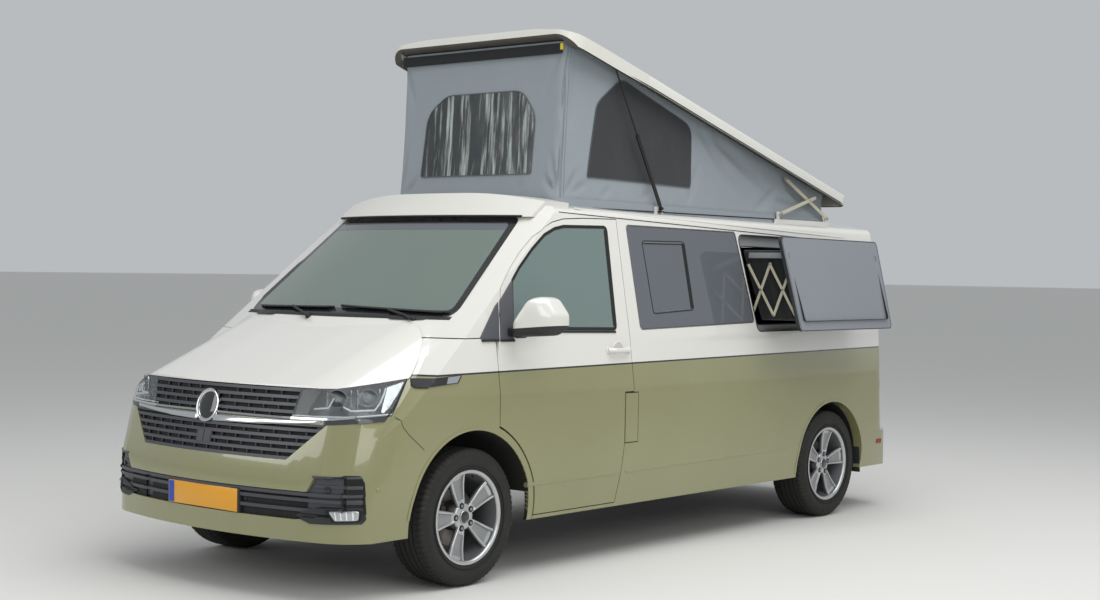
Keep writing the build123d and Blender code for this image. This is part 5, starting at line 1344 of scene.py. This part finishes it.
for side, name in ((1, "left"), (-1, "right")):
    lay, way = from_side(side), (0, -side, 0)
    gutter = [(-0.80 - k * 0.1475, 1.856 + 0.032 * (0.35 - k * 0.1475)) for k in range(21)] + [(-3.86, 1.762), (-3.95, 1.735),
        (-4.02, 1.690), (-4.065, 1.620), (-4.085, 1.500)]
    settle(bead(gutter, 0.0026, lay, HULL, way, 0.0002, step=0.02), f"roof_gutter_{name}", SEAL, "body", 60)
    settle(bead([(a, z + 0.030) for a, z in gutter[1:21]], 0.0060, lay, HULL, way, -0.0025, step=0.03), f"roof_drip_rail_{name}",
        PAINT, "body", 60)
    settle(bead([(-0.405, 0.4660), (-1.170, 0.4685)], 0.0140, lay, HULL, way, -0.0105, step=0.04), f"door_crease_{name}", PAINT,
        f"door_{name}", 60)
    settle(bead([(-1.225, 0.4690), (-2.925, 0.4790)], 0.0140, lay, HULL, way, -0.0105, step=0.04), f"side_crease_{name}", PAINT,
        "body", 60)
    settle(draped(rounded([(-3.985, 0.462), (-4.046, 0.462), (-4.046, 0.433), (-3.985, 0.433)], 0.006), lay, HULL, way, 0.0035,
        0.006, 0.012),
           f"side_reflector_{name}", RED_LENS, "body", 50)
    flap = bmesh.new()
    block(flap, (0.007, 0.205, 0.175), (at(-3.800), side * 0.828, 0.3400), Matrix.Rotation(0.06, 3, "Y"))
    block(flap, (0.012, 0.205, 0.012), (at(-3.800), side * 0.828, 0.4240))
    round_edges(flap, 0.0025, 2)
    settle(flap, f"mud_flap_{name}", PLASTIC, "body", 50)
    settle(bead([(0.5065, 0.862), (0.5025, 0.845), (0.499, 0.828), (0.490, 0.812), (0.447, 0.772), (0.392, 0.731),
        (0.350, 0.700)], 0.0015, lay, HULL, way, 0.0002, step=0.012), f"bumper_seam_{name}",
           SEAL, "body", 60)
    arch = [(0.438 * math.cos(math.radians(t)), 0.340 + 0.438 * math.sin(math.radians(t))) for t in range(4, 166, 5)]
    settle(band(arch, 0.016, lay, HULL, way, 0.0030, 0.007, step=0.02), f"front_arch_lip_{name}", PAINT, "body",
        50)
    arch = [(-3.400 + 0.4085 * math.cos(math.radians(t)), 0.340 + 0.4085 * math.sin(math.radians(t))) for t in range(-4, 186, 5)]
    settle(band(arch, 0.017, lay, HULL, way, 0.0025, 0.006), f"rear_arch_lip_{name}", PAINT, "body", 50)
    for k, (z0, z1, mat) in enumerate(((0.800, 0.862, LENS), (0.872, 0.905, AMBER), (0.925, 1.060, RED_LENS))):
        settle(draped(rounded([(side * 0.842, z0), (side * 0.842, z1), (side * 0.905, z1), (side * 0.905, z0)], 0.010), from_tail,
            HULL, TAIL, 0.0035, 0.006, 0.012),
               f"tail_lamp_field_{k}_{name}", mat, "body", 50)
    for k, y in enumerate((0.24, 0.66)):
        eye = bmesh.new()
        spun(eye, [(0, 0.0035), (0.0085, 0.0035), (0.0100, 0.0026), (0.0115, 0.0008), (0.0115, -0.006), (0, -0.006)],
             onto(HULL, (-4.0, side * y, 0.470), TAIL, 0.0), (-1, 0, 0), 24, (0, 0, 1))
        settle(eye, f"rear_sensor_{k}_{name}", PLASTIC, "body", 50)
    settle(draped(rounded([(side * 0.60, 0.385), (side * 0.60, 0.415), (side * 0.74, 0.415), (side * 0.74, 0.385)], 0.006),
        from_tail, HULL, TAIL, 0.0035, 0.006, 0.02),
           f"rear_reflector_{name}", RED_LENS, "body", 50)
tail_glass = rounded([(0.690, 1.215), (0.618, 1.735), (-0.618, 1.735), (-0.690, 1.215)], 0.05)
settle(band(tail_glass, 0.016, from_tail, HULL, TAIL, 0.0020, 0.006, closed=True, step=0.04), "tailgate_glass_seal", SEAL,
    "tailgate", 50)
settle(band(rounded([(0.655, 1.240), (0.592, 1.712), (-0.592, 1.712), (-0.655, 1.240)], 0.04), 0.030, from_tail, HULL, TAIL,
    0.0008, 0.003, closed=True, step=0.04),
       "tailgate_glass_print", EDGE_PRINT, "tailgate", 50)
settle(draped(rounded([(-0.300, 0.826), (-0.300, 0.972), (0.300, 0.972), (0.300, 0.826)], 0.012), from_tail, HULL, TAIL, 0.0030,
    0.008), "tailgate_plate_recess", PLASTIC, "tailgate", 50)
settle(draped(rounded([(-0.260, 0.842), (-0.260, 0.952), (0.260, 0.952), (0.260, 0.842)], 0.006), from_tail, HULL, TAIL, 0.0060,
    0.003), "rear_plate_blank", PLATE_YELLOW, "tailgate", 50)
settle(draped([(0.218, 0.845), (0.218, 0.949), (0.257, 0.949), (0.257, 0.845)], from_tail, HULL, TAIL, 0.0066, 0.001),
    "rear_plate_band", PLATE_BLUE, "tailgate", 50)
grip = band([(-0.315, 0.996), (0.315, 0.996)], 0.032, from_tail, HULL, TAIL, 0.0160, 0.022)
round_edges(grip, 0.005, 3, 55)
settle(grip, "tailgate_grip_bar", PAINT, "tailgate", 50)
for k in (-1, 1):
    settle(draped(rounded([(k * 0.13 - 0.026, 0.9755), (k * 0.13 - 0.026, 0.984), (k * 0.13 + 0.026, 0.984),
        (k * 0.13 + 0.026, 0.9755)], 0.003), from_tail, HULL, TAIL, 0.0120, 0.006),
           f"plate_lamp_{'left' if k > 0 else 'right'}", GUIDE, "tailgate", 50)
settle(draped(rounded([(-0.135, 1.7435), (-0.135, 1.7640), (0.135, 1.7640), (0.135, 1.7435)], 0.005), from_tail,
    skin("tailgate", "roof"), TAIL, 0.0040, 0.008), "high_brake_light",
       RED_LENS, "body", 50)
settle(bead([(0.02, 1.190), (-0.20, 1.2650)], 0.0070, from_tail, HULL, TAIL, 0.016), "rear_wiper_arm", PLASTIC, "tailgate",
    60)
settle(bead([(0.02, 1.2560), (-0.40, 1.2760)], 0.0055, from_tail, HULL, TAIL, 0.009), "rear_wiper_blade", SEAL, "tailgate",
    60)
nut = bmesh.new()
spun(nut, [(0, 0.016), (0.016, 0.014), (0.021, 0.006), (0.022, -0.012), (0, -0.012)],
    onto(HULL, (-4.0, 0.02, 1.190), TAIL, 0.010), (-1, 0, 0), 28, (0, 0, 1))
settle(nut, "rear_wiper_cap", PLASTIC, "tailgate", 50)
sheet = bmesh.new()
block(sheet, (0.160, 1.180, 0.006), (at(-4.095), 0, 1.8610), Matrix.Rotation(0.02, 3, "Y"))
round_edges(sheet, 0.0022, 2)
settle(sheet, "rear_roof_lip", WHITE, "body", 50)
tube = bmesh.new()
spun(tube, [(0, -0.600), (0.014, -0.600), (0.0175, -0.594), (0.0175, 0.594), (0.014, 0.600), (0, 0.600)], (at(-4.150), 0, 1.8380),
    (0, 1, 0), 32, (0, 0, 1))
settle(tube, "rear_roof_tube", PLASTIC, "body", 50)
aerial = bmesh.new()
spun(aerial, [(0, 0.030), (0.006, 0.028), (0.020, 0.012), (0.030, 0.0), (0.030, -0.012), (0, -0.012)],
    onto(HULL, (at(-4.05), 0.30, 3.0), (0, 0, -1), 0.0), (-0.2, 0, 0.98), 32, (0, 1, 0))
settle(aerial, "roof_aerial_base", PLASTIC, "body", 50)

# ---------------------------------------------------------------- cabin and living room


def cushion(name, size, centre, tilt, body, mat, bolster=0.0, crown=0.16, channels=0):
    """Crowned pad whose sides pull in between its corners; a bolster lifts its long edges."""
    bm = bmesh.new()
    bmesh.ops.create_cube(bm, size=2.0)
    bmesh.ops.subdivide_edges(bm, edges=bm.edges[:], cuts=5, use_grid_fill=True)
    for v in bm.verts:
        a, b, c = v.co
        pull = 1 - 0.035 * (1 - a * a) * abs(b) ** 4 - 0.035 * (1 - b * b) * abs(a) ** 4
        lift = crown * (1 - a * a) * (1 - b * b) * (1 if c > 0 else -0.25) * abs(c)
        lift += bolster * max(0.0, abs(b) - 0.55) ** 1.5 * 3 * (c > 0.5)
        if channels and c > 0.5:
            lift -= 0.045 * math.cos((a + 1) * math.pi * channels) ** 16
        v.co = Vector((a * pull * size[0] / 2, b * pull * size[1] / 2,
            (c * (1 - 0.10 * max(abs(a), abs(b)) ** 6) + lift) * size[2] / 2))
    bm = rounder(bm, 2)
    bmesh.ops.transform(bm, matrix=Matrix.Translation(centre) @ Matrix.Rotation(tilt, 4, "Y"), verts=bm.verts)
    piece = settle(bm, name, mat, body, 60)
    return piece


for side, name in ((1, "left"), (-1, "right")):
    seat = cushion(f"front_seat_cushion_{name}", (0.500, 0.460, 0.125), (at(-1.24), side * 0.42, 0.882), 0.03, "body", SEAT,
        0.30, 0.14, 2)
    if side > 0:
        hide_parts("front_seats")
    cushion(f"front_seat_back_{name}", (0.560, 0.440, 0.110), (at(-1.492), side * 0.42, 1.212), math.radians(-102), "body", SEAT,
        0.35, 0.14, 3)
    cushion(f"front_head_rest_{name}", (0.140, 0.225, 0.078), (at(-1.606), side * 0.42, 1.592), math.radians(-98), "body", SEAT,
        0.0, 0.20)
    legs = bmesh.new()
    block(legs, (0.380, 0.380, 0.255), (at(-1.24), side * 0.42, 0.6880))
    for k in (-1, 1):
        block(legs, (0.420, 0.030, 0.020), (at(-1.24), side * 0.42 + k * 0.16, 0.8120))
    round_edges(legs, 0.012, 3)
    settle(legs, f"front_seat_base_{name}", DASH, "body", 50)
    for k in (-1, 1):
        post = cord_mesh([(at(-1.555), side * 0.42 + k * 0.055, 1.460), (at(-1.572), side * 0.42 + k * 0.055, 1.530)], 0.0055)
        settle(post, f"head_rest_post_{'inner' if k < 0 else 'outer'}_{name}", CHROME, "body", 50)
box = bmesh.new()
block(box, (0.560, 1.130, 0.275), (at(-2.765), -0.130, 0.6985))
round_edges(box, 0.010, 2)
box = settle(box, "bench_box", BOARD, "body", 50)
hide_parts("rear_bench")
for k, y in enumerate((-0.415, 0.155)):
    cushion(f"bench_cushion_{k}", (0.555, 0.565, 0.120), (at(-2.765), y, 0.896), 0.0, "body", SEAT, 0.0, 0.16, 1)
    cushion(f"bench_back_{k}", (0.505, 0.555, 0.110), (at(-3.092), y, 1.160), math.radians(-99), "body", SEAT, 0.0, 0.16, 1)
unit = dress("cabinet", BOARD)
trim = bmesh.new()
for k in range(3):
    block(trim, (0.310, 0.014, 0.440), (at(-2.07 - k * 0.330), 0.4755, 0.815))
round_edges(trim, 0.004, 2)
settle(trim, "cabinet_doors", WHITE, "body", 50)
trim = bmesh.new()
for k in range(3):
    spun(trim, [(0, 0.016), (0.010, 0.014), (0.012, 0.006), (0.006, 0.0), (0, 0.0)], (at(-1.96 - k * 0.330), 0.4690, 0.985),
        (0, -1, 0), 24, (0, 0, 1))
settle(trim, "cabinet_knobs", CHROME, "body", 50)
top = bmesh.new()
block(top, (0.980, 0.300, 0.018), (at(-2.40), 0.6250, 1.0885))
round_edges(top, 0.004, 2)
settle(top, "cabinet_worktop", PLASTIC, "body", 50)
hob = bmesh.new()
for x in (-2.14, -2.38):
    for radius in (0.040, 0.075):
        spun(hob, [(radius, 0.0), (radius + 0.003, 0.006), (radius + 0.008, 0.006), (radius + 0.011, 0.0), (radius, 0.0)],
            (at(x), 0.620, 1.0975), (0, 0, 1), 48, (1, 0, 0))
spun(hob, [(0.105, 0.0005), (0.110, 0.004), (0.122, 0.004), (0.128, 0.0005), (0.105, 0.0005)], (at(-2.70), 0.620, 1.0975),
    (0, 0, 1), 56, (1, 0, 0))
settle(hob, "hob_rings_and_sink_rim", CHROME, "body", 50)

panel_bits = bmesh.new()
block(panel_bits, (0.150, 0.330, 0.060), (at(-0.455), 0.420, 1.2050), Matrix.Rotation(0.22, 3, "Y"))
block(panel_bits, (0.060, 0.260, 0.150), (at(-0.560), 0.0, 1.0900), Matrix.Rotation(0.22, 3, "Y"))
round_edges(panel_bits, 0.020, 4)
settle(panel_bits, "instrument_hood_and_console", DASH, "body", 50)
panel_bits = bmesh.new()
block(panel_bits, (0.004, 0.205, 0.115), (at(-0.5935), 0.0, 1.0980), Matrix.Rotation(0.22, 3, "Y"))
round_edges(panel_bits, 0.0015, 2)
settle(panel_bits, "console_screen", PIANO, "body", 50)
vents = bmesh.new()
for y in (-0.66, -0.19, 0.19, 0.66):
    for k in range(5):
        block(vents, (0.012, 0.110, 0.005), (at(-0.578 + 0.0012 * k), y, 1.150 - 0.014 * k), Matrix.Rotation(0.5, 3, "Y"))
settle(vents, "dash_air_vents", PLASTIC, "body", 50)
view_mirror = bmesh.new()
block(view_mirror, (0.028, 0.230, 0.062), (at(-0.665), 0.0, 1.735), Matrix.Rotation(0.2, 3, "Y"))
block(view_mirror, (0.030, 0.024, 0.060), (at(-0.650), 0.0, 1.775))
round_edges(view_mirror, 0.010, 4)
settle(view_mirror, "cabin_view_mirror", PLASTIC, "body", 50)
airbag = bmesh.new()
spun(airbag, [(0, 0.030), (0.040, 0.027), (0.066, 0.014), (0.072, -0.004), (0, -0.004)], (at(-0.690), 0.420, 1.150),
    (-math.cos(math.radians(28)), 0, math.sin(math.radians(28))), 48, (0, 1, 0))
settle(airbag, "steering_wheel_pad", LEATHER, BODY_OF["steering_wheel"], 50)

# ---------------------------------------------------------------- underside


def coil(centre, radius, low, high, turns, wire):
    count = int(turns * 20)
    return cord_mesh([(centre[0] + radius * math.cos(math.tau * k / 20), centre[1] + radius * math.sin(math.tau * k / 20),
        low + (high - low) * k / count) for k in range(count + 1)], wire)


for side, name in ((1, "left"), (-1, "right")):
    settle(coil((AXLE_X, side * 0.655), 0.033, 0.600, 0.712, 5, 0.0055), f"front_spring_{name}", STEEL, f"knuckle_{name}",
        60)
    settle(coil((at(-3.380), side * 0.560), 0.050, 0.400, 0.505, 4, 0.0065), f"rear_spring_{name}", STEEL, "body",
        60)
    shaft = cord_mesh([(AXLE_X, side * 0.300, 0.352), (AXLE_X, side * 0.580, 0.341)], 0.014)
    settle(shaft, f"drive_shaft_{name}", STEEL, "body", 60)
    boot = bmesh.new()
    profile = [(0.018, -0.045)]
    for k in range(5):
        profile += [(0.030 + 0.004 * k, -0.038 + 0.016 * k), (0.024 + 0.004 * k, -0.030 + 0.016 * k)]
    spun(boot, profile + [(0.050, 0.046), (0, 0.046), (0, -0.045), (0.018, -0.045)], (AXLE_X, side * 0.600, 0.341), (0, side, 0),
        32, (1, 0, 0))
    settle(boot, f"drive_shaft_boot_{name}", SEAL, "body", 60)
pipe = cord_mesh([(at(0.05), -0.300, 0.330), (at(-0.35), -0.340, 0.345), (at(-0.90), -0.520, 0.345), (at(-1.20), -0.560, 0.345),
    (at(-2.40), -0.560, 0.345)], 0.0250, resolution=4)
settle(pipe, "exhaust_front_pipe", STEEL, "body", 60)
can = bmesh.new()
spun(can, [(0, -0.300), (0.060, -0.300), (0.070, -0.285), (0.070, 0.285), (0.060, 0.300), (0, 0.300)], (at(-2.68), -0.545, 0.375),
    (1, 0, 0), 40, (0, 0, 1))
settle(can, "exhaust_silencer", STEEL, "body", 50)
pipe = cord_mesh([(at(-3.78), -0.420, 0.365), (at(-3.95), -0.470, 0.345), (at(-4.08), -0.520, 0.315),
    (at(-4.130), -0.525, 0.290)], 0.0240, resolution=4)
settle(pipe, "exhaust_tail_pipe", STEEL, "body", 60)


# ---------------------------------------------------------------- studio

def studio():
    floor_mat, shader, place = material("studio_floor", "#D9D8D4", 0.85)
    ground = bmesh.new()
    bmesh.ops.create_grid(ground, x_segments=8, y_segments=8, size=250.0)
    mesh = bpy.data.meshes.new("studio_floor")
    ground.to_mesh(mesh)
    ground.free()
    mesh.materials.append(floor_mat)
    slab = bpy.data.objects.new("studio_floor", mesh)
    scene.collection.objects.link(slab)
    world = bpy.data.worlds.new("studio")
    scene.world = world
    world.use_nodes = True
    tree = world.node_tree
    tree.nodes["Background"].inputs["Color"].default_value = colour("#E4E8EC")
    tree.nodes["Background"].inputs["Strength"].default_value = 0.62
    for name, size, energy, spot, aim in (
            ("sky_box", (9.0, 7.0), 480.0, (0.5, 3.0, 7.5), (0.0, 0.0, 0.8)),
            ("side_box", (7.0, 3.0), 150.0, (4.5, 8.0, 3.6), (0.5, 0.0, 0.9)),
            ("nose_box", (4.0, 3.0), 110.0, (8.5, -3.5, 3.5), (1.5, 0.0, 0.8))):
        lamp = bpy.data.lights.new(name, "AREA")
        lamp.shape, lamp.size, lamp.size_y, lamp.energy = "RECTANGLE", size[0], size[1], energy
        holder = bpy.data.objects.new(name, lamp)
        scene.collection.objects.link(holder)
        holder.location = spot
        holder.rotation_euler = (Vector(aim) - Vector(spot)).to_track_quat("-Z", "Y").to_euler()


# Camera fitted to the photograph: place in metres, yaw, pitch and roll in radians, sensor and lens in millimetres
CAMERA_PLACE = (7.8363, 6.5282, 1.5564)
CAMERA_TURN = (3.8392953, -0.01739258, 0.01471445)
SENSOR_WIDTH, LENS_LENGTH = 36.0, 55.33


def camera():
    """Camera that stands where the photograph was taken from."""
    yaw, pitch, roll = CAMERA_TURN
    look = Vector((math.cos(yaw) * math.cos(pitch), math.sin(yaw) * math.cos(pitch), math.sin(pitch)))
    side = look.cross(Vector((0, 0, 1))).normalized()
    up = side.cross(look)
    side, up = side * math.cos(roll) + up * math.sin(roll), up * math.cos(roll) - side * math.sin(roll)
    data = bpy.data.cameras.new("photo_camera")
    data.sensor_width, data.sensor_fit, data.lens = SENSOR_WIDTH, "HORIZONTAL", LENS_LENGTH
    holder = bpy.data.objects.new("photo_camera", data)
    scene.collection.objects.link(holder)
    turn = Matrix((side, up, -look)).transposed()
    holder.matrix_world = Matrix.Translation(CAMERA_PLACE) @ turn.to_4x4()
    scene.camera = holder


studio()
camera()
scene.view_settings.view_transform = "Standard"
